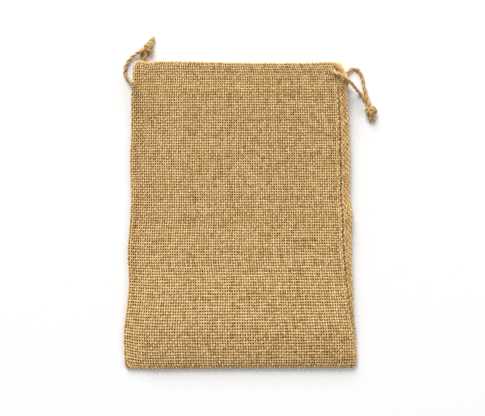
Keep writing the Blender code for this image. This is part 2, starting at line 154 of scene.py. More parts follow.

# %% [markdown]
# Jute yarn is a loose single twist of stiff golden bast fibres. Its surface is dull and streaky, because the
# fibres lie at a slant round the yarn and each has its own shade. The finish follows the yarn: `lay` is the
# place round the yarn and `along` the distance along it in millimetres. Turning `lay` as `along` grows gives
# streaks that wind round as the fibres do, and `tone` gives each yarn its own shade; in the cloth it also holds a
# painted highlight where a yarn goes over a thread and painted shade where it goes under. A bundle of rough fibres
# throws light back evenly, and a little of the light goes through it and comes out beside, so the yarns look dry
# and soft-edged. Low down between the threads the colour is painted darker, a painted shade for the light that
# reaches there only from yarn to yarn. A picture of burlap could be laid on instead, but it would repeat, and it
# would stay flat from close by. Nodes make this finish, added one by one with a small class.

# %% Shader and geometry nodes
class Nodes:
    """A tree of shader or geometry nodes, with a short way to add each kind that comes back often."""

    def __init__(self, tree):
        self.tree = tree

    def add(self, kind, inputs=None, **settings):
        """A new node. inputs gives its sockets, by name or number, a value or what they are linked from."""
        made = self.tree.nodes.new(kind)
        for name, value in settings.items():
            setattr(made, name, value)
        for key, value in (inputs or {}).items():
            sockets = [s for s in made.inputs if s.enabled]
            socket = sockets[key] if isinstance(key, int) else next(s for s in sockets if s.name == key)
            if isinstance(value, bpy.types.Node):
                value = next(s for s in value.outputs if s.enabled)
            if isinstance(value, bpy.types.NodeSocket):
                self.tree.links.new(value, socket)
            else:
                socket.default_value = value
        return made

    def maths(self, operation, *values, kind="ShaderNodeMath"):
        return self.add(kind, dict(enumerate(values)), operation=operation)

    def whole(self, operation, *values):
        return self.maths(operation, *values, kind="FunctionNodeIntegerMath")

    def vector(self, operation, *values):
        return self.maths(operation, *values, kind="ShaderNodeVectorMath")

    def xyz(self, x, y, z=0.0):
        return self.add("ShaderNodeCombineXYZ", {"X": x, "Y": y, "Z": z})

    def noise(self, spot, scale, detail, **more):
        return self.add("ShaderNodeTexNoise", {"Vector": spot, "Scale": scale, "Detail": detail, **more})


# %% The finish of jute
STREAK_DRIFT = 0.22  # how fast the streaks change along a yarn, beside how fast they change round it
STREAK_SHARE = 0.35  # how much of the shade comes from the streaks, the rest being the yarn's own tone
RAMP_ENDS = (0.2, 0.8)
FIBRE_RELIEF = 0.16 * MM
# painted shade: the next two numbers say how low between the threads the colour is painted darkest, and where it is
# not darkened at all
PAINTED_SHADE_DEEPEST, PAINTED_SHADE_NONE = -0.5, 0.05  # how low between the threads the colour is deepest, and where it has none of that
DRY_FIBRE = {
    "Diffuse Roughness": 1.0, "Specular IOR Level": 0.15,
    "Subsurface Weight": 0.12, "Subsurface Radius": (1.0, 1.0, 1.0), "Subsurface Scale": 0.5 * MM,
}
Finish = namedtuple("Finish", "name dark middle light twist streaks roughness under")


def jute(finish):
    """Jute: its shade from tone, with painted shade low between the threads, and its streaks and small ridges from
    the twist.
    """
    material = new_material(finish.name, {**DRY_FIBRE, "Roughness": finish.roughness})
    nodes = Nodes(material.node_tree)

    def stored(name, output="Fac"):
        return nodes.add("ShaderNodeAttribute", attribute_name=name).outputs[output]

    lay, along, tone = stored("lay", "Vector"), stored("along"), stored("tone")
    angle = nodes.maths("MULTIPLY", along, math.tau / finish.twist)
    wound = nodes.add("ShaderNodeVectorRotate", {"Vector": lay, "Angle": angle}, rotation_type="Z_AXIS")
    drift = nodes.xyz(tone, 0.0, nodes.maths("MULTIPLY", along, STREAK_DRIFT))
    streak = nodes.noise(nodes.vector("ADD", wound, drift), finish.streaks, 3.0, Roughness=0.6)
    mixed = nodes.add("ShaderNodeMix", {"Factor": STREAK_SHARE, "A": tone, "B": streak})
    ramp = nodes.add("ShaderNodeValToRGB", {"Fac": mixed})
    stops = ramp.color_ramp.elements
    for stop, place, shade in zip(list(stops), RAMP_ENDS, (finish.dark, finish.light)):
        stop.position, stop.color = place, linear(shade)
    stops.new(0.5).color = linear(finish.middle)
    colour = ramp.outputs["Color"]
    # painted shade: the sides of a yarn that lie low between the threads are drawn towards the under colour
    if finish.under:
        across = nodes.add("ShaderNodeSeparateXYZ", {"Vector": lay}).outputs["X"]
        height = nodes.maths("MULTIPLY_ADD", across, 0.5, stored("level"))
        raised = nodes.add("ShaderNodeMapRange", {"Value": height, "From Min": PAINTED_SHADE_DEEPEST, "From Max": PAINTED_SHADE_NONE})
        sides = {"Factor": raised, "A": linear(finish.under), "B": colour}
        colour = next(s for s in nodes.add("ShaderNodeMix", sides, data_type="RGBA").outputs if s.enabled)
    bump = nodes.add("ShaderNodeBump", {"Strength": 0.8, "Distance": FIBRE_RELIEF, "Height": streak})
    shader = nodes.tree.nodes["Principled BSDF"].inputs
    nodes.tree.links.new(colour, shader["Base Color"])
    nodes.tree.links.new(bump.outputs["Normal"], shader["Normal"])
    return material


# the last colour of the cloth's finish is the painted shade for yarn sides low between the threads
WOVEN_JUTE = jute(Finish("woven_jute_yarn", "#8f6835", "#deb97d", "#ecdab0", 3.0, 2.8, 0.8, "#5c3812"))
CORD_JUTE = jute(Finish("twisted_jute_cord", "#7e5e34", "#c39f69", "#ead4a4", 5.0, 1.8, 0.75, None))
print("finishes:", WOVEN_JUTE.name, CORD_JUTE.name)

# %% [markdown]
# Each drawstring is one cord, knotted to itself. It leaves the knot, goes through the front of the hem, turns
# round inside the far end and comes back through the rear of the hem. These are the same points as in the
# part's source, in millimetres, so that the cord lies where its solid does.

# %% Routes of the drawstrings
CORD_RADIUS = 1.0
HEM_RADIUS = 6.9
CASING_RADIUS = 4.6
CASING_ENDS = (-64.1, 62.0)
UPPER_ROW = 96.4
LOWER_ROW = 92.0
FRONT_Z = HEM_RADIUS + CASING_RADIUS
BACK_Z = HEM_RADIUS - CASING_RADIUS
HOLES = ((-67.6, 89.3, 9.4), (-63.6, 102.0, 2.2), (62.4, 93.9, 13.1), (71.0, 94.3, 1.4))  # for the cords
LEFT_LOOP = (
    (-64.7, 109.9, 3.9), (-66.6, 108.8, 3.3), (-69.3, 107.2, 2.0), (-72.9, 104.4, 1.1), (-75.6, 100.3, 1.0),
    (-76.6, 97.2, 1.0), (-76.6, 94.6, 1.0), (-75.5, 92.1, 1.1), (-73.9, 90.0, 1.7), (-72.1, 88.6, 3.2),
    (-70.1, 88.2, 5.6), (-68.6, 88.7, 8.2), (-66.6, 89.9, 10.4), (-63.4, 91.2, 11.4), (-57.5, 92.0, 11.5),
)
LEFT_UPRIGHT = (
    (-62.9, 108.9, 2.5), (-63.3, 106.2, 2.1), (-63.6, 103.4, 2.1), (-63.5, 100.6, 2.3), (-61.9, 97.9, 2.3),
    (-58.6, 96.6, 2.3), (-54.5, 96.4, 2.3),
)
RIGHT_FRONT = (
    (85.0, 73.9, 1.3), (83.9, 76.2, 1.0), (82.7, 78.3, 1.0), (81.0, 80.4, 1.2), (79.2, 82.1, 2.3),
    (77.1, 84.1, 4.8), (74.9, 86.1, 8.4), (72.8, 88.0, 12.1), (70.2, 89.9, 14.6), (66.8, 91.9, 15.3),
    (63.6, 93.4, 14.5), (60.6, 94.8, 12.8), (57.4, 95.9, 11.7), (53.5, 96.4, 11.5),
)
RIGHT_BACK = (
    (86.2, 73.8, 3.5), (85.4, 76.0, 3.1), (84.8, 78.2, 2.3), (84.1, 80.6, 1.5), (83.4, 83.3, 1.0),
    (82.4, 88.0, 1.0), (81.5, 92.0, 1.0), (80.1, 95.4, 1.0), (78.5, 97.2, 1.0), (76.3, 97.8, 1.0),
    (74.2, 97.3, 1.0), (72.3, 95.7, 1.1), (70.4, 93.8, 1.4), (66.4, 92.1, 2.1), (61.5, 92.0, 2.3),
    (57.0, 92.0, 2.3),
)


def side_turn(end, front_row, back_row):
    """The half circle by which a cord goes round one end of the casing, from the front to the back."""
    turn = (-1, 1)[end]
    return [
        (
            CASING_ENDS[end] + turn * CASING_RADIUS * math.sin(math.pi * i / 6),
            front_row + (back_row - front_row) * i / 6,
            HEM_RADIUS + CASING_RADIUS * math.cos(math.pi * i / 6),
        )
        for i in range(7)
    ]


def straight(row, height, x_from, x_to):
    return [(x_from + (x_to - x_from) * share, row, height) for share in (0.03, 0.1, 0.5, 0.9, 0.97)]


def whole_route(first, last, rows, end):
    """A drawstring's points from one end at the knot, round inside the hem, to the other end at the knot."""
    turn = side_turn(end, *rows)
    front = straight(rows[0], FRONT_Z, first[-1][0], turn[0][0])
    back = straight(rows[1], BACK_Z, turn[-1][0], last[-1][0])
    return [*first, *front, *turn, *back, *last[::-1]]


ROUTES = {
    "left": whole_route(LEFT_LOOP, LEFT_UPRIGHT, (LOWER_ROW, UPPER_ROW), 1),
    "right": whole_route(RIGHT_FRONT, RIGHT_BACK, (UPPER_ROW, LOWER_ROW), 0),
}
print("route points:", {side: len(points) for side, points in ROUTES.items()})


# %% A smooth line through the points
def smooth_line(points, spacing, lowest=0.0):
    """Points the given distance apart, in mm, on the centripetal Catmull-Rom curve through the given ones."""
    points = [Vector(point) for point in points]
    ghosts = [2 * points[0] - points[1]] + points + [2 * points[-1] - points[-2]]
    fine = []
    for p0, p1, p2, p3 in zip(ghosts, ghosts[1:], ghosts[2:], ghosts[3:]):
        d1, d2, d3 = ((b - a).length ** 0.5 for a, b in ((p0, p1), (p1, p2), (p2, p3)))
        m1 = (p1 - p0) / d1 - (p2 - p0) / (d1 + d2) + (p2 - p1) / d2
        m2 = (p2 - p1) / d2 - (p3 - p1) / (d2 + d3) + (p3 - p2) / d3
        for t in (i / 16 for i in range(16)):
            fine.append(
                (1 + 2 * t) * (1 - t) ** 2 * p1 + t * (1 - t) ** 2 * d2 * m1
                + t * t * (3 - 2 * t) * p2 - t * t * (1 - t) * d2 * m2
            )
    fine = np.array([*fine, points[-1]])
    fine[:, 2] = np.maximum(fine[:, 2], lowest)
    run = np.concatenate([[0.0], np.cumsum(np.linalg.norm(np.diff(fine, axis=0), axis=1))])
    stops = np.linspace(0, run[-1], max(int(round(run[-1] / spacing)), 3) + 1)
    return np.column_stack([np.interp(stops, run, fine[:, axis]) for axis in range(3)])


# %% [markdown]
# The cord is two-ply: two strands laid round each other. Geometry Nodes follow the route: each strand's line
# is pushed off the middle by half its spread and turned as it goes, then given a round section. The spread is
# held in the curve's radius, so that one tree also makes the places where the strands have come loose. One
# smooth tube with its twist in the finish would be lighter, but its edge would be straight, and the photograph
# shows the strands there. A small class holds what all three makers of this file share.

# %% A maker of pieces
class Maker(Nodes):
    """A geometry tree that makes a piece of lines with a section. Its inputs are given as name=default, and one
    that has no default as name=type."""

    def __init__(self, name, **inputs):
        super().__init__(bpy.data.node_groups.new(name, "GeometryNodeTree"))
        sockets = self.tree.interface.new_socket
        sockets("Geometry", in_out="INPUT", socket_type="NodeSocketGeometry")
        for label, default in inputs.items():
            kind = {float: "Float", int: "Int"}.get(type(default), default)
            socket = sockets(label, in_out="INPUT", socket_type=f"NodeSocket{kind}")
            if kind != default:
                socket.default_value = default
        sockets("Geometry", in_out="OUTPUT", socket_type="NodeSocketGeometry")
        self.given = self.tree.nodes.new("NodeGroupInput").outputs

    def named(self, name, kind="FLOAT"):
        return self.add("GeometryNodeInputNamedAttribute", {"Name": name}, data_type=kind)

    def store(self, geometry, name, value, kind="FLOAT"):
        inputs = {"Geometry": geometry, "Name": name, "Value": value}
        return self.add("GeometryNodeStoreNamedAttribute", inputs, data_type=kind)

    def move(self, geometry, offset):
        return self.add("GeometryNodeSetPosition", {"Geometry": geometry, "Offset": offset})

    def ring(self, sides):
        return self.add("GeometryNodeCurvePrimitiveCircle", {"Resolution": sides, "Radius": 1.0})

    def marked_ring(self, sides):
        """A round section that keeps in lay where each of its points lies round the middle."""
        return self.store(self.ring(sides), "lay", self.add("GeometryNodeInputPosition"), VECTOR)

    def finish(self, lines, section, scale):
        """End the tree: lines given their section, instances made real, the material set, the result sent out."""
        inputs = {"Curve": lines, "Profile Curve": section, "Scale": scale, "Fill Caps": True}
        tubes = self.add("GeometryNodeCurveToMesh", inputs)
        real = self.add("GeometryNodeRealizeInstances", {"Geometry": tubes})
        painted = self.add("GeometryNodeSetMaterial", {"Geometry": real, "Material": self.given["Material"]})
        self.add("NodeGroupOutput", {"Geometry": painted})
        print(f"{self.tree.name}: {len(self.tree.nodes)} nodes")

    def grow(self, name, source, **values):
        """Run the tree on a source object and keep its result as a plain mesh at the origin."""
        modifier = source.modifiers.new(self.tree.name, "NODES")
        modifier.node_group = self.tree
        for item in self.tree.interface.items_tree:
            if item.item_type == "SOCKET" and item.in_out == "INPUT" and item.name in values:
                modifier[item.identifier] = values[item.name]
        bpy.context.view_layer.update()
        graph = bpy.context.evaluated_depsgraph_get()
        mesh = bpy.data.meshes.new_from_object(source.evaluated_get(graph), depsgraph=graph)
        source.modifiers.remove(modifier)
        places = np.empty(3 * len(mesh.vertices), np.float32)
        mesh.vertices.foreach_get("co", places)
        places[2::3] = np.maximum(places[2::3], 0.0)  # what touches the floor lies flat on it
        mesh.vertices.foreach_set("co", places)
        mesh.name = name
        mesh.shade_smooth()
        mesh.calc_loop_triangles()
        print(f"{name}: {len(mesh.loop_triangles)} triangles")
        return put(name, mesh)


# %% The cord maker
CORD_STEP = 0.75  # mm between rings
CORD_LAY = 8.5  # mm in which the strands go once round

cord_maker = Maker(
    "two_ply_cord", Lay=CORD_LAY * MM, Strand=0.72 * MM, Spread=0.5 * MM, Sides=7, Seed=1.0, Material="Material"
)
given = cord_maker.given
run = cord_maker.add("GeometryNodeSplineParameter").outputs["Length"]
normal = cord_maker.add("GeometryNodeInputNormal")
beside = cord_maker.vector("CROSS_PRODUCT", cord_maker.add("GeometryNodeInputTangent"), normal)
reach = cord_maker.maths("MULTIPLY", cord_maker.add("GeometryNodeInputRadius"), given["Spread"])
turns = cord_maker.maths("DIVIDE", run, given["Lay"])
line = cord_maker.store(given["Geometry"], "along", cord_maker.maths("MULTIPLY", run, 1 / MM))
strands = []
for half_turn in (0.0, math.pi):
    angle = cord_maker.maths("MULTIPLY_ADD", turns, math.tau, half_turn)
    sideways = [
        cord_maker.vector("SCALE", axis, cord_maker.maths("MULTIPLY", cord_maker.maths(wave, angle), reach))
        for axis, wave in ((normal, "COSINE"), (beside, "SINE"))
    ]
    shade = cord_maker.noise(cord_maker.xyz(half_turn, run, given["Seed"]), 260.0, 2.0)
    strands.append(cord_maker.move(cord_maker.store(line, "tone", shade), cord_maker.vector("ADD", *sideways)))
both = cord_maker.add("GeometryNodeJoinGeometry")
for strand in strands:
    cord_maker.tree.links.new(strand.outputs[0], both.inputs[0])
cord_maker.finish(both, cord_maker.marked_ring(given["Sides"]), given["Strand"])


# %% Fasten, measure and clear
def settle(piece, slot, *nodes):
    """Fasten a finished piece to the pouch and let it stand for CAD nodes, which are hidden. slot is not used."""
    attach(piece, BODY)
    if nodes:
        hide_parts(*nodes)
    return piece


def length_of(points):
    """The length of a line through points."""
    return float(np.linalg.norm(np.diff(points, axis=0), axis=1).sum())


def drop_source(made):
    """Remove a curve or guide once its pieces are made."""
    bpy.data.objects.remove(made, do_unlink=True)


# %% The drawstrings
def line_object(name, lines):
    """Curves through points in mm. Each line is its points with the spread of the strands at each point."""
    curve = bpy.data.curves.new(name, "CURVE")
    curve.dimensions = "3D"
    for points, spreads in lines:
        spline = curve.splines.new("POLY")
        spline.points.add(len(points) - 1)
        for target, point, spread in zip(spline.points, points, spreads):
            target.co = (*(Vector(point) * MM), 1.0)
            target.radius = spread
    return put(name, curve)


def loosened(points, centre, reach, most):
    """How far the strands have come apart: most at a place in mm, and 1 past its reach."""
    away = np.linalg.norm(points - np.array(centre), axis=1) / reach
    return 1 + (most - 1) * np.exp(-away * away)


Drawstring = namedtuple("Drawstring", "side loose_at loose_reach loose_most seed")
DRAWSTRINGS = (
    Drawstring("left", (-63.3, 106.0, 2.1), 4.5, 1.7, 3.0),
    Drawstring("right", (85.2, 77.0, 2.2), 8.0, 1.5, 9.0),
)
drawstrings, cord_paths = {}, {}
for string in DRAWSTRINGS:
    path = smooth_line(ROUTES[string.side], CORD_STEP, CORD_RADIUS)
    spreads = loosened(path, string.loose_at, string.loose_reach, string.loose_most)
    source = line_object(f"route_{string.side}", [(path, spreads)])
    piece = cord_maker.grow(f"jute_drawstring_{string.side}", source, Seed=string.seed, Material=CORD_JUTE)
    drop_source(source)
    drawstrings[string.side] = settle(piece, "jute_cord", f"drawstring_{string.side}")
    cord_paths[string.side] = path * MM
    print(f"{string.side}: {length_of(path):.1f} mm of cord")


# %% [markdown]
# The cloth follows a guide: a plain surface along the outside of the cloth, which no one sees. It has the
# solid's outline, cross-sections and soft folds, and stays within about two millimetres of it. The differences
# are what a springy cloth does: it keeps half of the folds' height, slopes more gently to the left and bottom
# edges, runs more smoothly over the casing, and gathers into small pleats where a drawstring pulls it together.
# The outline was read off the photograph's edges and turned to millimetres. The guide keeps a map of the weave:
# how many warp threads and how many picks, which are single weft threads, lie between any place and the corner.

# %% The pouch's sizes, outline and sections, in mm
LENGTH = 204.4
TOP = 101.3  # the mouth's edge, before its waves
BOTTOM_SEAM = 3.0
BOTTOM_RISE = 58.0  # how far up from the bottom edge the cloth has its full height
CORNER_RADIUS = 4.0
LEFT_FLATTEN = 0.9  # how much flatter than a quarter ellipse the cloth lies near its left and bottom edges
BOTTOM_FLATTEN = 0.2
HEM_FROM = (70.0, 86.0)  # between these places the bag's own shape gives way to the hem's
RELIEF = 0.45  # how much of the folds' height the springy cloth keeps
RIPPLE_SLANT = 0.35
DIP_REACH = 7.0  # how far down from the mouth the rows of the weave follow its wavy edge
FOLD_ROUND = 0.25  # by which the top of the hem is rounded where the cloth turns in
GROOVE_WIDTH = 0.9
Outline = namedtuple("Outline", "y left seam right")
OUTLINE = [Outline(*row) for row in (
    (-102.2, -77.2, 76.4, 77.9), (-95.0, -77.5, 76.4, 78.0), (-80.0, -78.0, 75.6, 76.9),
    (-68.0, -76.7, 73.8, 75.9), (-43.0, -74.4, 70.6, 74.8), (-27.0, -75.2, 69.1, 74.2),
    (-12.0, -74.5, 68.1, 74.4), (0.0, -73.5, 67.9, 74.9), (14.0, -73.1, 66.9, 73.1),
    (36.0, -73.7, 66.6, 73.4), (60.0, -72.8, 66.0, 72.6), (78.0, -72.7, 65.2, 71.6),
    (85.0, -71.7, 65.0, 71.1), (90.2, -71.2, 64.8, 73.1), (94.5, -71.0, 64.0, 70.1),
    (98.3, -70.8, 62.5, 68.9), (102.2, -68.6, 60.5, 66.6),
)]
Ends = namedtuple("Ends", "x bottom top")
ENDS = [Ends(*row) for row in (
    (-78.0, -101.9, 101.5), (-66.0, -102.2, 102.2), (-60.0, -102.35, 100.9), (-52.0, -102.35, 101.9),
    (-30.0, -102.2, 101.6), (0.0, -102.0, 101.1), (42.0, -101.8, 100.8), (57.0, -101.7, 101.2),
    (78.0, -101.5, 100.7),
)]
Section = namedtuple("Section", "y front side left_rise right_rise back_rise wall left_wall right_wall groove")
SECTIONS = [Section(*row) for row in (
    (-102.2, 10.9, 1.8, 26.0, 12.0, 4.0, 1.1, 3.0, 3.4, 0.0),
    (-85.0, 10.9, 1.9, 26.0, 12.0, 4.0, 1.1, 3.0, 3.6, 0.2),
    (-76.0, 11.0, 2.0, 26.0, 12.0, 4.0, 1.1, 3.0, 3.9, 1.0),
    (-65.0, 11.0, 2.0, 26.0, 12.0, 4.0, 1.1, 3.0, 4.2, 1.2),
    (-25.0, 11.2, 2.1, 25.0, 12.5, 4.0, 1.1, 3.0, 6.6, 1.3),
    (30.0, 11.5, 2.3, 23.0, 13.0, 4.0, 1.1, 3.0, 7.8, 1.2),
    (60.0, 12.0, 2.8, 20.0, 12.0, 4.4, 1.1, 3.0, 7.6, 1.1),
    (80.0, 12.5, 4.6, 13.0, 10.0, 5.2, 1.1, 3.4, 6.6, 0.8),
    (86.5, 12.75, 6.3, 8.0, 8.0, 6.4, 2.0, 4.6, 7.3, 0.2),
    (89.0, 12.85, 6.9, 6.9, 6.9, 6.9, 4.6, 4.8, 8.4, 0.0),
    (90.2, 12.9, 6.9, 6.9, 6.9, 6.9, 4.6, 4.8, 8.8, 0.0),
    (94.5, 13.3, 6.9, 6.9, 6.9, 6.9, 4.6, 4.6, 5.8, 0.0),
    (98.3, 13.7, 6.9, 6.9, 6.9, 6.9, 4.6, 4.4, 4.6, 0.0),
    (101.2, 13.75, 6.9, 6.9, 6.9, 6.9, 3.6, 3.6, 3.6, 0.0),
    (102.2, 13.5, 6.9, 6.9, 6.9, 6.9, 2.6, 2.4, 2.4, 0.0),
)]
Fold = namedtuple("Fold", "x y heading length width height")
FOLDS = [Fold(*row) for row in (
    (-52.0, 40.0, 88.0, 46.0, 9.0, -0.4), (-14.0, 58.0, 93.0, 40.0, 11.0, -0.4),
    (22.0, 20.0, 84.0, 60.0, 13.0, 0.5), (-30.0, -38.0, 100.0, 42.0, 10.0, 0.4),
    (-56.0, -58.0, 70.0, 30.0, 10.0, -0.4), (40.0, -50.0, 78.0, 40.0, 12.0, -0.4),
    (52.0, 66.0, 128.0, 16.0, 5.0, 0.5), (58.0, 80.0, 150.0, 10.0, 3.5, -0.6),
    (-58.0, 82.0, 60.0, 10.0, 4.0, -0.4),
)]
RIPPLES = ((31.0, 0.6, 0.12), (47.0, 2.1, 0.1), (23.0, 4.0, 0.08))  # wavelength, phase and height
GATHERS = [Fold(*row) for row in (  # the small pleats where a drawstring has pulled the front of the hem together
    (66.4, 97.4, -59.0, 6.0, 1.1, 0.4), (68.6, 92.6, -62.0, 5.0, 1.2, 1.0), (63.6, 95.8, -52.0, 2.8, 1.0, -1.4),
    (69.8, 87.8, -66.0, 4.0, 1.1, -1.6), (60.6, 91.4, 16.0, 4.5, 1.3, 0.6), (59.0, 95.5, -25.0, 2.6, 1.8, 0.9),
)]


print("the pouch:", len(OUTLINE), "places on its outline,", len(SECTIONS), "sections,", len(FOLDS), "folds")


# %% Reading the tables
def read(table, column, at):
    """A column of a table on a curve through its rows with no overshoot, at an array of places, all in mm."""
    rows = np.array(table, float)
    place, value = rows[:, 0], rows[:, table[0]._fields.index(column)]
    rise = np.diff(value) / np.diff(place)
    both = rise[:-1] * rise[1:]
    bend = np.divide(2 * both, rise[:-1] + rise[1:], out=np.zeros_like(both), where=both > 0)
    slope = np.concatenate([rise[:1], bend, rise[-1:]])
    at = np.clip(at, place[0], place[-1])
    i = np.clip(np.searchsorted(place, at, side="right") - 1, 0, len(place) - 2)
    step = place[i + 1] - place[i]
    t = (at - place[i]) / step
    return (
        (1 + 2 * t) * (1 - t) ** 2 * value[i]
        + t * (1 - t) ** 2 * step * slope[i]
        + t * t * (3 - 2 * t) * value[i + 1]
        - t * t * (1 - t) * step * slope[i + 1]
    )


def ease(distance, reach):
    """A quarter ellipse: 0 at an edge, 1 once the distance from it is the reach."""
    t = np.clip(distance / reach, 0.0, 1.0)
    return np.sqrt(t * (2 - t))


def ramp(value, start, end):
    """0 up to the start, 1 from the end on, and straight between them."""
    return np.clip((value - start) / (end - start), 0, 1)


# %% The surface of the cloth
def relief(folds, ripples, x, y):
    """The height that folds and ripples add to the front cloth."""
    height = np.zeros(np.broadcast(x, y).shape)
    for fold in folds:
        heading = math.radians(fold.heading)
        on = (x - fold.x) * math.cos(heading) + (y - fold.y) * math.sin(heading)
        off = (y - fold.y) * math.cos(heading) - (x - fold.x) * math.sin(heading)
        height += fold.height * np.exp(-((on / fold.length) ** 2) - (off / fold.width) ** 2)
    for wavelength, phase, size in ripples:
        height += size * np.sin((x + RIPPLE_SLANT * y) * math.tau / wavelength + phase)
    return height


def cloth(along, round_, depth, drop):
    """Points of the cloth. along is 0 at the bottom edge and 1 at the mouth. round_ is 0 at the left edge and
    1 at the right edge, and past those, or below the bottom edge, the point is on the back, up to 2 at the
    left edge again. depth is 0 on the outer face and 1 on the inner face. drop lowers the point in y."""
    on_back = (round_ < 0) | (round_ > 1) | (along < 0)
    share = 1 - np.abs(1 - np.abs(round_))
    along = np.abs(along)
    place = (along - 0.5) * LENGTH
    outline = {name: read(OUTLINE, name, place) for name in Outline._fields[1:]}
    section = {name: read(SECTIONS, name, place) for name in Section._fields[1:]}
    pull = CORNER_RADIUS * (1 - ease(along * LENGTH, CORNER_RADIUS))
    left = outline["left"] + pull + depth * section["left_wall"]
    right = outline["right"] - pull - depth * section["right_wall"]
    x = left + share * (right - left)
    low = read(ENDS, "bottom", x) + depth * BOTTOM_SEAM
    dip = np.exp(-(((1 - along) * LENGTH / DIP_REACH) ** 2))
    y = low + along * (TOP - low) + (read(ENDS, "top", x) - TOP) * dip - drop
    floor, side = depth * section["wall"], section["side"]
    up = along * LENGTH
    near, far = x - left, right - x
    fall = [ease(distance, section["back_rise"] - floor) for distance in (near, far, up)]
    body = 1 - ramp(place, *HEM_FROM)
    rise = ease(near, section["left_rise"] - floor) ** (1 + LEFT_FLATTEN * body)
    rise = rise * ease(far, section["right_rise"] - floor)
    rise = rise * ease(up, BOTTOM_RISE - depth * BOTTOM_SEAM) ** (1 + BOTTOM_FLATTEN)
    bumps = RELIEF * body * relief(FOLDS, RIPPLES, x, y) + (1 - depth) * relief(GATHERS, (), x, y)
    front = side + (section["front"] - floor - side + bumps) * rise
    front = front - (1 - depth) * section["groove"] * np.exp(-(((x - outline["seam"]) / GROOVE_WIDTH) ** 2))
    back = side + (floor - side) * fall[0] * fall[1] * fall[2]
    return np.stack(np.broadcast_arrays(x, y, np.where(on_back, back, front)), axis=-1)


# %% [markdown]
# Counting threads on the photograph gives the weave. It has 92 warp threads from the left edge to the side
# seam all the way up, so they fan out where the pouch is wider, and 6 more in the strip past the seam. The
# picks lie 1.68 mm apart over the upper part and up to 2 mm apart near the bottom, where the cloth was
# beaten less.

# %% Counts and sizes of the weave
PANEL_WARPS = 92
STRIP_WARPS = 6
SEAM_WARPS = 1  # down in the seam
WRAP_WARPS = 2  # those of the front that turn under each side
BACK_WARPS = 96
HEM_WARPS = 172  # round the turned-in part of the hem
WRAP = 3.2  # mm by which the front's cloth turns under
BACK_WRAP = WRAP - 0.8  # mm from each side at which the back's cloth starts
THREAD_PITCH = 1.6  # mm from one thread to the next, nearly the same for warp and weft
WARP_PITCH = 1.55  # mm, across the middle of the panel
WARP_CRIMP = 0.24  # mm that the warp goes over and under, because it was woven slack
WEFT_CRIMP = 0.2
WARP_INSET = 0.58  # mm under the guide, because the warp lies a little higher than the weft
WEFT_INSET = 0.98
WARP_WIDTH = 0.79
WEFT_WIDTH = 0.85
BACK_WIDTH = 1.6  # mm, the yarns of the back lie flatter because the pouch rests on them
WARP_SQUEEZE = (0.4, 1.15)  # the least and the most of its width that a yarn has, with near or far neighbours
WEFT_SQUEEZE = (0.4, 1.0)
SEAM_WIDTH = 0.3  # mm
SEAM_DEPTH = 1.15
FULL_GROOVE = 1.3  # mm, the groove of the seam where the threads in it lie at that depth
STRIP_TUCK = 0.15  # mm by which the strip lies lower than the panel where it comes up from the seam
STRIP_SLANT = 3.0  # mm by which the picks climb across the strip past the seam
STRIP_HEAD = (84.0, 76.0)  # mm up the pouch: they climb not at all at the first place, and fully at the second
STRIP_FOOT = (-96.0, -76.0)
UNRULY_FADE = 1.2  # threads before the seam at which the yarns start to be less even
CORNER_LIFT = 2.0  # mm by which the picks curl up at the bottom left corner
CORNER_WARPS = 9.0  # how many warp threads that reaches across
CORNER_FROM = (-66.0, -92.0)
CORNER_FADE = 7.0  # mm from the bottom edge within which they lie straight again
SLOPE_SHARE = 0.4  # how much of a slope's height counts when the warp is laid out, since it fans out there
EDGE_ROUND = 3.5  # mm, how far in from an edge the middle of the rounding lies
EDGE_HEIGHT = (1.6, 2.2)  # mm above the floor
CREASED = 0.3  # cosine, below which the cloth's face and the way out from the middle differ too much
SEWN_LINE = 86.5  # where the hem's edge is sewn down, which closes the weave a little
SEWN_REACH = 3.2
CLOSED = 0.14
NEAR_EDGE = 3.0  # mm from the bottom edge within which the rows are found from many points, because it turns there
ROW_STEP = 0.5  # mm between those points elsewhere
FOLD_SHARE = 0.01  # of the length, at the mouth, where the cloth turns in
RING_POINTS = 161  # from the left edge to the right one
RING_WRAP = 24  # of those again before the left edge, on the back
TINY = 1e-9
Picks = namedtuple("Picks", "y pitch")
PICKS = [Picks(*row) for row in (
    (-102.2, 1.99), (-63.0, 1.96), (-56.0, 1.92), (-37.0, 1.85), (-14.0, 1.75), (0.0, 1.69), (102.2, 1.68),
)]


print("threads of the front:", PANEL_WARPS, "in the panel and", STRIP_WARPS, "in the strip past the seam")


# %% The rows and the columns of the weave
def guide_rows(start, stop_inside):
    """Places up the cloth, half a pick apart, as columns of along, depth and drop. start is how far up from the
    bottom edge the first is, in mm, and stop_inside how far the last is down inside the mouth."""
    near = NEAR_EDGE * (np.arange(1, 41) / 40) ** 2
    far = np.arange(NEAR_EDGE + ROW_STEP, (1 - FOLD_SHARE) * LENGTH, ROW_STEP)
    outer = np.concatenate([-near[::-1], [0.0], near, far])
    dense = [(d / LENGTH, 0.0, 0.0) for d in outer if d >= start]
    dense += [(1 - FOLD_SHARE + FOLD_SHARE * t, 0.0, FOLD_ROUND * t) for t in np.linspace(0, 1, 9)]
    dense += [(1.0, t, FOLD_ROUND * (1 - math.sin(math.pi * t))) for t in np.linspace(0, 1, 15)[1:]]
    inside = np.linspace(0, stop_inside, 6)[1:]
    dense += [(1 - d / LENGTH, 1.0, FOLD_ROUND * max(1 - d / 2, 0)) for d in inside]
    dense = np.array(dense)
    line = cloth(dense[:, 0], np.full(len(dense), 0.5), dense[:, 1], dense[:, 2])
    step = np.linalg.norm(np.diff(line, axis=0), axis=1) / read(PICKS, "pitch", line[1:, 1])
    count = np.concatenate([[0.0], np.cumsum(step)])
    picks = int(round(count[-1]))
    stops = np.linspace(0, count[-1], 2 * picks + 1)
    return picks, np.column_stack([np.interp(stops, count, dense[:, k]) for k in range(3)])


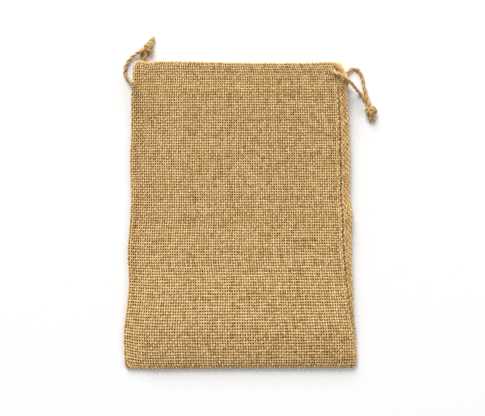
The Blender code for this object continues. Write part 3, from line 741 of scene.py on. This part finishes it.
def thread_places(rows, anchors, seam_share):
    """Places round the cloth in every row, half a warp thread apart, and the count of threads at each."""
    half = (1 - np.cos(np.linspace(0, math.pi, RING_POINTS))) / 2
    ring = np.concatenate([-half[RING_WRAP:0:-1], half, 1 + half[1:]])
    along, depth, drop = (rows[:, k, None] for k in range(3))
    steps = np.diff(cloth(along, ring[None, :], depth, drop), axis=1) * (1, 1, SLOPE_SHARE)
    arcs = np.concatenate([np.zeros((len(rows), 1)), np.cumsum(np.linalg.norm(steps, axis=2), axis=1)], axis=1)
    counts = np.array([anchor[0] for anchor in anchors], float)
    columns = np.linspace(counts[0], counts[-1], int(2 * (counts[-1] - counts[0])) + 1)
    rings = np.empty((len(rows), len(columns)))
    for i, arc in enumerate(arcs):
        reached = [
            np.interp(seam_share[i] if edge is None else edge, ring, arc) + past for _, edge, past in anchors
        ]
        rings[i] = np.interp(np.interp(columns, counts, reached), arc, ring)
    return columns, rings


# %% The strip past the seam, and which way the cloth looks
def side_strip(place, columns, seam_count):
    """What the seam does to the front: by how much its picks climb, how unruly its yarns are, and by how much
    the cloth is tucked down. The first and the last are in mm."""
    past = columns - seam_count
    climbing = ramp(place, *STRIP_HEAD) * ramp(place, *STRIP_FOOT)
    lift = STRIP_SLANT * np.clip(past / (SEAM_WARPS + STRIP_WARPS), 0, 1)[None, :] * climbing[:, None]
    curling = ramp(place, *CORNER_FROM) * ramp(place + LENGTH / 2, 0, CORNER_FADE)
    lift += CORNER_LIFT * np.clip(1 - columns / CORNER_WARPS, 0, 1)[None, :] ** 2 * curling[:, None]
    unruly = ramp(past, -UNRULY_FADE, 0)[None, :] * np.ones((len(place), 1))
    tuck = np.where(past > SEAM_WARPS, STRIP_TUCK * np.exp(-past / 2), 0.0)
    tuck = np.where((past >= 0) & (past <= SEAM_WARPS), SEAM_DEPTH, tuck)
    return lift, unruly, tuck[None, :] * (read(SECTIONS, "groove", place) / FULL_GROOVE)[:, None]


def outward_of(points, normals, rows, left, right):
    """Which way the cloth's good side looks. Where the tight turn at the bottom creases, it is away from the
    middle of the turn."""
    outward = normals / (np.linalg.norm(normals, axis=2, keepdims=True) + TINY)
    core = np.stack(
        [
            np.clip(points[..., 0], left[:, None] + EDGE_ROUND, right[:, None] - EDGE_ROUND),
            np.maximum(points[..., 1], EDGE_ROUND - LENGTH / 2),
            np.clip(points[..., 2], *EDGE_HEIGHT),
        ],
        axis=-1,
    )
    away = points - core
    away /= np.linalg.norm(away, axis=2, keepdims=True) + TINY
    at_bottom = (np.abs(rows[:, 0]) * LENGTH < 2 * EDGE_ROUND)[:, None]
    creased = at_bottom & ((outward * away).sum(axis=2) < CREASED)
    return np.where(creased[..., None], away, outward)


# %% A guide
Guide = namedtuple("Guide", "surface warps picks flat")


def guide(name, rows, anchors, picks, facing=1):
    """The surface that a piece of cloth is woven on. An anchor is a count of warp threads, the place round the
    cloth where it is reached, which is a number for an edge or None for the side seam, and a distance past
    that in mm. facing is 1 where the cloth's good side is the outside of the pouch, and -1 for the inside."""
    along, depth, drop = (rows[:, k, None] for k in range(3))
    place = (np.abs(rows[:, 0]) - 0.5) * LENGTH
    left, seam, right = (read(OUTLINE, column, place) for column in ("left", "seam", "right"))
    columns, rings = thread_places(rows, anchors, (seam - left) / (right - left))
    lift = unruly = tuck = np.zeros_like(rings)
    for count, edge, _ in anchors:
        if edge is None:
            lift, unruly, tuck = side_strip(place, columns, count)
            break
    points = cloth(along + lift / LENGTH, rings, depth, drop)
    points[..., 2] -= tuck
    across, up = np.gradient(points, axis=1), np.gradient(points, axis=0)
    outward = outward_of(points, facing * np.cross(across, up), rows, left, right)
    widths = [
        np.clip(2 * np.linalg.norm(step, axis=2) / pitch, *limits)
        for step, pitch, limits in ((across, WARP_PITCH, WARP_SQUEEZE), (up, PICKS[-1].pitch, WEFT_SQUEEZE))
    ]
    squeeze = np.stack([*widths, np.zeros_like(rings)], axis=-1)
    room = read(PICKS, "pitch", place) / PICKS[-1].pitch
    room = room * (1 + CLOSED * np.exp(-(((place - SEWN_LINE) / SEWN_REACH) ** 2)))
    room = room[:, None] * np.ones_like(rings)
    surface = guide_object(name, points, outward, squeeze, unruly, room)
    warps = int(round(columns[-1] - columns[0]))
    return Guide(surface, warps, picks, flat_size(surface.data, points.shape[1]))


def guide_object(name, points, outward, squeeze, unruly, room):
    """A guide as a mesh, with the map of the weave and what the weaver reads from it."""
    rows, columns = points.shape[:2]
    index = np.arange(rows * columns).reshape(rows, columns)
    faces = np.stack([index[:-1, :-1], index[:-1, 1:], index[1:, 1:], index[1:, :-1]], axis=-1).reshape(-1, 4)
    mesh = bpy.data.meshes.new(name)
    mesh.from_pydata((points.reshape(-1, 3) * MM).tolist(), [], faces.tolist())
    layer = mesh.uv_layers.new(name="weave")
    u, v = np.meshgrid(np.linspace(0, 1, columns), np.linspace(0, 1, rows))
    places = np.stack([u.ravel(), v.ravel()], axis=-1)[faces.ravel()]
    layer.data.foreach_set("uv", places.ravel())
    for label, values in (("outward", outward), ("squeeze", squeeze)):
        mesh.attributes.new(label, VECTOR, "POINT").data.foreach_set("vector", values.ravel())
    for label, values in (("unruly", unruly), ("room", room)):
        mesh.attributes.new(label, "FLOAT", "POINT").data.foreach_set("value", values.ravel())
    return put(name, mesh)


def flat_size(mesh, columns):
    """The width and length, in metres, that a guide's cloth was cut to, measured along its middle lines."""
    points = np.empty(len(mesh.vertices) * 3)
    mesh.vertices.foreach_get("co", points)
    points = points.reshape(-1, columns, 3)
    return length_of(points[len(points) // 2]), length_of(points[:, columns // 2])


# %% The guides of the front and the back
FRONT_ANCHORS = (
    (-WRAP_WARPS, 0, -WRAP), (0, 0, 0.0),
    (PANEL_WARPS, None, -SEAM_WIDTH / 2), (PANEL_WARPS + SEAM_WARPS, None, SEAM_WIDTH / 2),
    (PANEL_WARPS + SEAM_WARPS + STRIP_WARPS, 1, 0.0), (PANEL_WARPS + SEAM_WARPS + STRIP_WARPS + WRAP_WARPS, 1, WRAP),
)
BACK_ANCHORS = ((0, 1, BACK_WRAP), (BACK_WARPS, 2, -BACK_WRAP))
front_picks, front_rows = guide_rows(start=-2.8, stop_inside=2.3)
back_picks, back_rows = guide_rows(start=2.4, stop_inside=1.4)
front = guide("front_guide", front_rows, FRONT_ANCHORS, front_picks)
back = guide("back_guide", back_rows, BACK_ANCHORS, back_picks)
print("front and back: warps, picks and flat size", front[1:], back[1:])

# %% [markdown]
# The weaver makes one set of yarns on a guide, either the warp or the weft. Geometry Nodes are right for
# this, because thousands of crossings follow one rule: a yarn goes over one crossing thread and under the
# next. Each yarn is a curve with two points at each crossing, found on the guide through its map, lifted or
# lowered by the crimp, and given a flat oval section. Noise makes the yarns wander, swell and change shade as
# hand-spun jute does. Where a cord leaves the hem, the yarns are pushed aside to make its hole. A flat sheet with
# the weave as bump would be far lighter, but no light would fall through it, and its edges would be straight.

# %% The weaver: which yarn and which crossing each point belongs to
weaver = Maker(
    "weaver", Yarns=10, Crossings=10, Weft=0.0, Parity=0, Seed=1.0, Width=0.9 * MM, Thickness=1.0 * MM,
    Crimp=0.4 * MM, Inset=0.8 * MM, Wander=0.5, Slub=0.5, Knuckle=0.08, Speckle=0.4, Holes="Object",
    Hole=1.3 * MM, Material="Material",
)
given = weaver.given
index = weaver.add("GeometryNodeInputIndex")
per_yarn = weaver.whole("MULTIPLY", given["Crossings"], 2)
total = weaver.whole("MULTIPLY", per_yarn, given["Yarns"])
yarn = weaver.whole("DIVIDE_FLOOR", index, per_yarn)
step = weaver.whole("MODULO", index, per_yarn)
crossing = weaver.whole("DIVIDE_FLOOR", step, 2)
place = weaver.maths("MULTIPLY_ADD", step, 0.5, 0.25)
place_share = weaver.maths("DIVIDE", place, given["Crossings"])
middle = weaver.maths("ADD", yarn, 0.5)
print("which yarn, which crossing:", len(weaver.tree.nodes), "nodes")

# %% The weaver: where each yarn runs
MAP_EDGE = 0.0006  # nothing is looked up nearer than this to the map's edge
OWN_RATE = 0.22  # how fast a yarn's own noise changes from crossing to crossing


def drifting(yarn_rate, place_rate, detail):
    """Noise that changes from yarn to yarn and along each yarn, at these rates a thread."""
    along = weaver.maths("MULTIPLY", place, place_rate)
    return weaver.noise(weaver.xyz(weaver.maths("MULTIPLY", yarn, yarn_rate), along, given["Seed"]), 1.0, detail)


def map_spot(across):
    """The place on the map, from a yarn's place across the guide and the place along the yarn."""
    sides = {"Factor": given["Weft"], "A": weaver.xyz(across, place_share), "B": weaver.xyz(place_share, across)}
    chosen = weaver.add("ShaderNodeMix", sides, data_type="VECTOR")
    inside = weaver.vector("MAXIMUM", chosen, (MAP_EDGE, MAP_EDGE, 0.0))
    return weaver.vector("MINIMUM", inside, (1 - MAP_EDGE, 1 - MAP_EDGE, 1.0))


def sample(value, spot, kind="FLOAT"):
    """A value of the guide, or what it has stored under a name, at a place on its map."""
    value = weaver.named(value, kind) if isinstance(value, str) else value
    inputs = {"Mesh": given["Geometry"], "Value": value, "UV Map": weaver.named("weave", VECTOR), "Sample UV": spot}
    return weaver.add("GeometryNodeSampleUVSurface", inputs, data_type=kind)


# each yarn wanders on its own, and neighbours sway together
wobble = weaver.maths("MULTIPLY_ADD", drifting(0.11, 0.07, 1.0), 0.6, drifting(0.83, OWN_RATE, 3.0))
unruly = sample("unruly", map_spot(weaver.maths("DIVIDE", middle, given["Yarns"])))
wilder = weaver.maths("MULTIPLY_ADD", unruly, 1.6, 1.0)
amount = weaver.maths("MULTIPLY", wilder, given["Wander"])
shift = weaver.maths("MULTIPLY", weaver.maths("SUBTRACT", wobble, 0.8), amount)
spot = map_spot(weaver.maths("DIVIDE", weaver.maths("ADD", middle, shift), given["Yarns"]))
here = sample(weaver.add("GeometryNodeInputPosition"), spot, VECTOR)
outward = sample("outward", spot, VECTOR)

# over one thread and under the next
turn = weaver.whole("ADD", weaver.whole("ADD", yarn, crossing), given["Parity"])
over = weaver.maths("MULTIPLY_ADD", weaver.whole("MODULO", turn, 2), -2.0, 1.0)
lifted = weaver.maths("MULTIPLY", over, given["Crimp"])
raised = weaver.vector("SCALE", outward, weaver.maths("SUBTRACT", lifted, given["Inset"]))
woven = weaver.vector("ADD", here, raised)

# pushed aside round the holes
eyelets = weaver.add("GeometryNodeObjectInfo", {"Object": given["Holes"]}).outputs["Geometry"]
near = weaver.add(
    "GeometryNodeProximity", {"Geometry": eyelets, "Sample Position": woven}, target_element="POINTS"
).outputs
direction = weaver.vector("NORMALIZE", weaver.vector("SUBTRACT", woven, near["Position"]))
square = weaver.maths("MULTIPLY", near["Distance"], near["Distance"])
distance = weaver.maths("SQRT", weaver.maths("MULTIPLY_ADD", given["Hole"], given["Hole"], square))
parted = weaver.vector("ADD", near["Position"], weaver.vector("SCALE", direction, distance))
print("where the yarns run:", len(weaver.tree.nodes), "nodes so far")

# %% The weaver: the yarns' shade and thickness
YARN_NOISE, SWELL_NOISE = 2.2, 2.6
RUN_SHARE = 0.8  # how much of the shade changes along a yarn, the rest being the whole yarn's
FILLING = (0.6, 1.8)  # how strongly the warp and the weft fill the room that wide-set threads leave
CROWDING = 0.32  # how much thicker the yarns are past the seam, where the cloth is gathered


def white(*spot):
    """A value from 0 to 1 that is drawn anew for each spot."""
    return weaver.add("ShaderNodeTexWhiteNoise", {"Vector": weaver.xyz(*spot)})


own_run = weaver.maths("MULTIPLY", place, OWN_RATE)
run_shade = weaver.noise(weaver.xyz(middle, own_run, given["Seed"]), YARN_NOISE, 3.0)
shade = weaver.add("ShaderNodeMix", {"Factor": RUN_SHARE, "A": white(yarn, given["Seed"]), "B": run_shade})
fleck = weaver.maths("SUBTRACT", white(yarn, crossing, given["Seed"]), 0.5)
flecked = weaver.maths("MULTIPLY_ADD", fleck, given["Speckle"], shade)
# painted highlight and painted shade: the tone is raised where a yarn goes over a thread and lowered where it goes
# under
tone = weaver.maths("MULTIPLY_ADD", over, given["Knuckle"], flecked)

swell = weaver.noise(weaver.xyz(given["Seed"], own_run, middle), SWELL_NOISE, 2.0)
swell = weaver.maths("SUBTRACT", swell, 0.5)
fatness = weaver.maths("MULTIPLY_ADD", swell, given["Slub"], 0.5)
widths = weaver.add("ShaderNodeSeparateXYZ", {"Vector": sample("squeeze", spot, VECTOR)}).outputs
squeezed = weaver.add("ShaderNodeMix", {"Factor": given["Weft"], "A": widths["X"], "B": widths["Y"]})
power = weaver.add("ShaderNodeMapRange", {"Value": given["Weft"], "To Min": FILLING[0], "To Max": FILLING[1]})
filling = weaver.maths("POWER", sample("room", spot), power)
crowded = weaver.maths("MULTIPLY_ADD", unruly, CROWDING, 1.0)
for share in (squeezed, crowded, fatness):
    filling = weaver.maths("MULTIPLY", filling, share)
print("shade and thickness:", len(weaver.tree.nodes), "nodes so far")

# %% The weaver: the yarns themselves
points = weaver.add("GeometryNodePoints", {"Count": total, "Position": parted})
for label, value, kind in (
    ("outward", outward, VECTOR), ("tone", tone, "FLOAT"), ("fatness", filling, "FLOAT"),
    ("along", weaver.maths("MULTIPLY", place, THREAD_PITCH), "FLOAT"), ("yarn", middle, "FLOAT"),
    ("level", weaver.maths("MULTIPLY", lifted, 1 / MM), "FLOAT"),
):
    points = weaver.store(points, label, value, kind)
yarns = weaver.add("GeometryNodePointsToCurves", {0: points, "Curve Group ID": weaver.named("yarn")})
laid = weaver.add("GeometryNodeSetCurveNormal", {"Curve": yarns}, mode="FREE")
facing = weaver.named("outward", VECTOR).outputs[0]
weaver.tree.links.new(facing, next(s for s in laid.inputs if s.name == "Normal"))
oval = weaver.add(
    "GeometryNodeTransform",
    {"Geometry": weaver.marked_ring(4), "Scale": weaver.xyz(given["Thickness"], given["Width"], 1.0)},
)
weaver.finish(laid, oval, weaver.named("fatness"))

# %% Weave the front and the back
hole_mesh = bpy.data.meshes.new("holes")
hole_mesh.from_pydata([tuple(Vector(hole) * MM) for hole in HOLES], [], [])
hole_object = put("holes", hole_mesh)


def weave(name, cloth_guide, weft, seed, **sizes):
    """One set of yarns on a guide: its warp, or its weft where weft is true."""
    warps, picks = cloth_guide.warps, cloth_guide.picks
    yarns, crossings = (picks, warps) if weft else (warps, picks)
    crimp, inset, width = (WEFT_CRIMP, WEFT_INSET, WEFT_WIDTH) if weft else (WARP_CRIMP, WARP_INSET, WARP_WIDTH)
    made = weaver.grow(
        name, cloth_guide.surface, Yarns=yarns, Crossings=crossings, Weft=float(weft), Parity=int(weft), Seed=seed,
        Crimp=crimp * MM, Inset=inset * MM, Holes=hole_object, Material=WOVEN_JUTE,
        **{"Width": width * MM, **sizes},
    )
    return settle(made, "burlap", "pouch")


sheets = [
    (weave("front_warp", front, False, 11.3), front.flat),
    (weave("front_weft", front, True, 31.4), front.flat),
    (weave("back_warp", back, False, 43.1, Width=BACK_WIDTH * MM), back.flat),
    (weave("back_weft", back, True, 58.7, Width=BACK_WIDTH * MM), back.flat),
]

# %% [markdown]
# The hem is the same cloth turned in, so behind the outer layer there is a second one, with the casing for the
# cords between them. It is woven on a guide of its own that goes right round the inside of the mouth, from
# the fold down to its cut edge, which lies a little below the line where the two layers are sewn together.

# %% Weave the turned-in part of the hem
HEM_DEPTH = 17.5  # mm from the top of the pouch to the cut edge
HEM_START = 1.2  # mm from the top of the pouch to the first pick
HEM_PICKS = 10
HEM_UNDER = 2.5  # mm, the least by which it lies under the outside of the cloth in front of it
HEM_HOLE = 0.4  # mm, what the cords push aside here
turned = np.linspace(HEM_DEPTH, HEM_START, 2 * HEM_PICKS + 1)
under = np.maximum(HEM_UNDER / read(SECTIONS, "wall", LENGTH / 2 - turned), 1.0)
hem_rows = np.column_stack([1 - turned / LENGTH, under, np.zeros_like(turned)])
hem = guide("hem_guide", hem_rows, ((0, 0, 0.0), (HEM_WARPS, 2, 0.0)), HEM_PICKS, facing=-1)
sheets += [
    (weave("hem_warp", hem, False, 71.2, Hole=HEM_HOLE * MM), hem.flat),
    (weave("hem_weft", hem, True, 83.4, Hole=HEM_HOLE * MM), hem.flat),
]
print("hem: warps, picks and flat size", hem[1:])

# %% [markdown]
# Each cord's two ends are tied together in an overhand knot, and the short tails beyond it fray. The turns of
# the knot are the same ones as in the solid, laid again with the cord maker over a few hidden turns.

# %% Knots
Core = namedtuple("Core", "x y z half_x half_y half_z")
KNOTS = {
    "left": (
        Core(-61.0, 111.5, 2.7, 2.5, 2.6, 2.3),
        (
            ((-63, 110.6, 2.2), (-62.9, 112, 3.6), (-61.4, 113, 4.5), (-59.4, 112.2, 4), (-58.9, 111, 2.4)),
            ((-62.4, 113, 2.2), (-61.6, 114.2, 3), (-60, 114.2, 3.6), (-58.9, 112.9, 3), (-59.2, 111.8, 2)),
            ((-61.6, 110.6, 3.4), (-60.4, 109.9, 4.2), (-59.2, 109.8, 3.2), (-59.4, 110.4, 2)),
            ((-60.2, 110.8, 2.6), (-59.9, 109, 2.2), (-60.2, 107.6, 1.5), (-60.5, 106.9, 1.3)),
            ((-63.2, 110.8, 1.6), (-64.8, 109.3, 1.1), (-65.7, 107.6, 1), (-65.9, 106, 1)),
            ((-60.8, 113.4, 2.4), (-60, 115, 2.4), (-59, 116.6, 1.9), (-58, 118, 1.4)),
            ((-59.9, 113, 2.6), (-58.8, 114.8, 2), (-57.9, 116.6, 1.5), (-57.4, 118.2, 1.3)),
        ),
    ),
    "right": (
        Core(87.2, 69.6, 2.7, 2.9, 2.7, 2.4),
        (
            ((85.6, 72.2, 2.6), (84.5, 71.4, 3.3), (84.1, 69.8, 3.4), (84.6, 67.9, 3), (86, 66.7, 2.2)),
            ((86.4, 71.6, 3.2), (87.8, 72.2, 4), (89.3, 71.4, 3.8), (90.4, 69.9, 3), (90.5, 68, 1.8)),
            ((85.7, 70.6, 3.9), (87.2, 71, 4.8), (88.8, 69.9, 4.5), (89.7, 68.6, 3)),
            ((86.2, 69.4, 3.9), (86.9, 68.2, 4.2), (87.8, 67.4, 3.4)),
            ((87.9, 69, 3.4), (87.5, 66.6, 2.8), (87, 64.6, 1.8), (86.7, 63, 1.3)),
            ((88.7, 68.8, 3), (89, 66.6, 2.4), (89.2, 64.6, 1.6), (89.1, 63.1, 1.3)),
        ),
    ),
}


def hidden_turns(core, loops=5.0, shrink=0.72):
    """A line wound round the middle of a knot, under the turns that show."""
    a = np.linspace(0, loops * math.tau, int(loops * 24))
    tilt = a / loops * 0.9
    unit = np.column_stack([np.cos(a) * np.cos(tilt), np.sin(a), np.cos(a) * np.sin(tilt)])
    return np.array(core[:3]) + unit * np.array(core[3:]) * shrink


KNOT_STEP = 0.35  # mm between rings
KNOT_LOWEST = 0.9  # mm above the floor
for side, (core, turns) in KNOTS.items():
    lines = [smooth_line(turn, KNOT_STEP, KNOT_LOWEST) for turn in turns] + [hidden_turns(core)]
    centre = np.array(core[:3])
    for end in (cord_paths[side] / MM, cord_paths[side][::-1] / MM):
        lines.append(smooth_line([centre, (centre + end[0]) / 2, end[0], end[2]], KNOT_STEP, KNOT_LOWEST))
    source = line_object(f"turns_{side}", [(line, np.ones(len(line))) for line in lines])
    piece = cord_maker.grow(
        f"jute_knot_{side}", source, Seed=17.0, Strand=0.66 * MM, Spread=0.5 * MM, Lay=6.0 * MM, Sides=8,
        Material=CORD_JUTE,
    )
    drop_source(source)
    settle(piece, "jute_cord", f"knot_{side}")

# %% [markdown]
# Jute is hairy: loose fibres stand off every yarn, and the cut ends of the cords open into a small brush. The
# fibre maker scatters points over a surface and grows a thin bent hair from each, leaning off the surface.
# Blender's hair could do this too. Nodes are used because they leave a plain mesh, which other programs can read.

# %% The fibre maker
SHORTEST = 0.3  # of the full length
HAIR_POINTS = 5
CURL_SCALE = 300.0
TAPER = 0.6  # how much thinner a hair is at its tip

fibre_maker = Maker(
    "loose_fibres", Density=4.0e4, Length=2.4 * MM, Lean=2.2, Bend=1.2 * MM, Thickness=0.035 * MM,
    Root=-0.5 * MM, Seed=1, Material="Material",
)
given = fibre_maker.given
roots = fibre_maker.add(
    "GeometryNodeDistributePointsOnFaces",
    {"Mesh": given["Geometry"], "Density": given["Density"], "Seed": given["Seed"]},
).outputs
rooted = fibre_maker.move(roots["Points"], fibre_maker.vector("SCALE", roots["Normal"], given["Root"]))
chance = {"Min": (-1.0, -1.0, -1.0), "Max": (1.0, 1.0, 1.0), "Seed": given["Seed"]}
chance = fibre_maker.add("FunctionNodeRandomValue", chance, data_type=VECTOR)
heading = fibre_maker.vector("ADD", fibre_maker.vector("SCALE", chance, given["Lean"]), roots["Normal"])
stand = fibre_maker.add("FunctionNodeAlignRotationToVector", {"Vector": heading}, axis="Z")
part = {"Min": SHORTEST, "Max": 1.0, "Seed": 5}
part = fibre_maker.add("FunctionNodeRandomValue", part, data_type="FLOAT")
line = {"Start": (0.0, 0.0, 0.0), "End": (0.0, 0.0, 1.0)}
line = fibre_maker.add("GeometryNodeCurvePrimitiveLine", line)
hair = fibre_maker.add("GeometryNodeResampleCurve", {"Curve": line, "Count": HAIR_POINTS})
size = fibre_maker.maths("MULTIPLY", part, given["Length"])
placed = {"Points": rooted, "Instance": hair, "Rotation": stand, "Scale": size}
placed = fibre_maker.add("GeometryNodeInstanceOnPoints", placed)
real = fibre_maker.add("GeometryNodeRealizeInstances", {"Geometry": placed})
factor = fibre_maker.add("GeometryNodeSplineParameter").outputs["Factor"]
wave = fibre_maker.noise(fibre_maker.add("GeometryNodeInputPosition"), CURL_SCALE, 1.0)
swing = fibre_maker.vector("SUBTRACT", wave.outputs["Color"], (0.5, 0.5, 0.5))
bend = fibre_maker.maths("MULTIPLY", factor, given["Bend"])
curled = fibre_maker.move(real, fibre_maker.vector("SCALE", swing, bend))
toned = fibre_maker.store(curled, "tone", fibre_maker.maths("ADD", wave, 0.3))
taper = fibre_maker.maths("MULTIPLY_ADD", factor, -TAPER, 1.0)
fibre_maker.finish(toned, fibre_maker.ring(3), fibre_maker.maths("MULTIPLY", taper, given["Thickness"]))

# %% Fuzz on the cloth, the cords and the cut ends
TIP_BACK = 0.6  # mm behind a cut end, where its fibres start
TIP_RADIUS = 0.85

settle(fibre_maker.grow("front_fuzz", front.surface, Seed=3, Material=WOVEN_JUTE), "burlap")
settle(fibre_maker.grow("back_fuzz", back.surface, Seed=4, Density=1.5e4, Material=WOVEN_JUTE), "burlap")
for side, piece in drawstrings.items():
    made = fibre_maker.grow(
        f"cord_fuzz_{side}", piece, Seed=7, Density=1.6e5, Length=1.8 * MM, Root=0.0, Lean=1.6, Material=CORD_JUTE
    )
    settle(made, "jute_cord")


def brush(name, tips, seed):
    """The opened fibres at the cut ends of a cord. tips are pairs of a tip and a point before it, in mm."""
    bm = bmesh.new()
    for tip, before in tips:
        heading = (Vector(tip) - Vector(before)).normalized()
        disc = heading.to_track_quat("Z", "Y").to_matrix().to_4x4()
        disc.translation = (Vector(tip) - heading * TIP_BACK) * MM
        bmesh.ops.create_circle(bm, cap_ends=True, segments=10, radius=TIP_RADIUS * MM, matrix=disc)
    mesh = bpy.data.meshes.new(name)
    bm.to_mesh(mesh)
    bm.free()
    source = put(name + "_roots", mesh)
    made = fibre_maker.grow(
        name, source, Seed=seed, Density=2.2e7, Length=2.3 * MM, Lean=0.38, Bend=0.7 * MM, Thickness=0.06 * MM,
        Root=0.0, Material=CORD_JUTE,
    )
    drop_source(source)
    return settle(made, "jute_cord")


for side, tails in (("left", (3, 4, 5, 6)), ("right", (4, 5))):
    turns = KNOTS[side][1]
    brush(f"frayed_ends_{side}", [(turns[i][-1], turns[i][-2]) for i in tails], 12)

# %% [markdown]
# The guides have served and go. Each sheet of cloth is kept with the size it was cut to. A sheet's size comes
# from its guide, along the middle lines of the cloth, because the yarns themselves are longer: they go up and down.

for used in (front.surface, back.surface, hem.surface, hole_object):
    drop_source(used)
for side, piece in drawstrings.items():
    path = cord_paths[side]
print("soft pieces:", len(drawstrings), "cords and", len(sheets), "sheets")
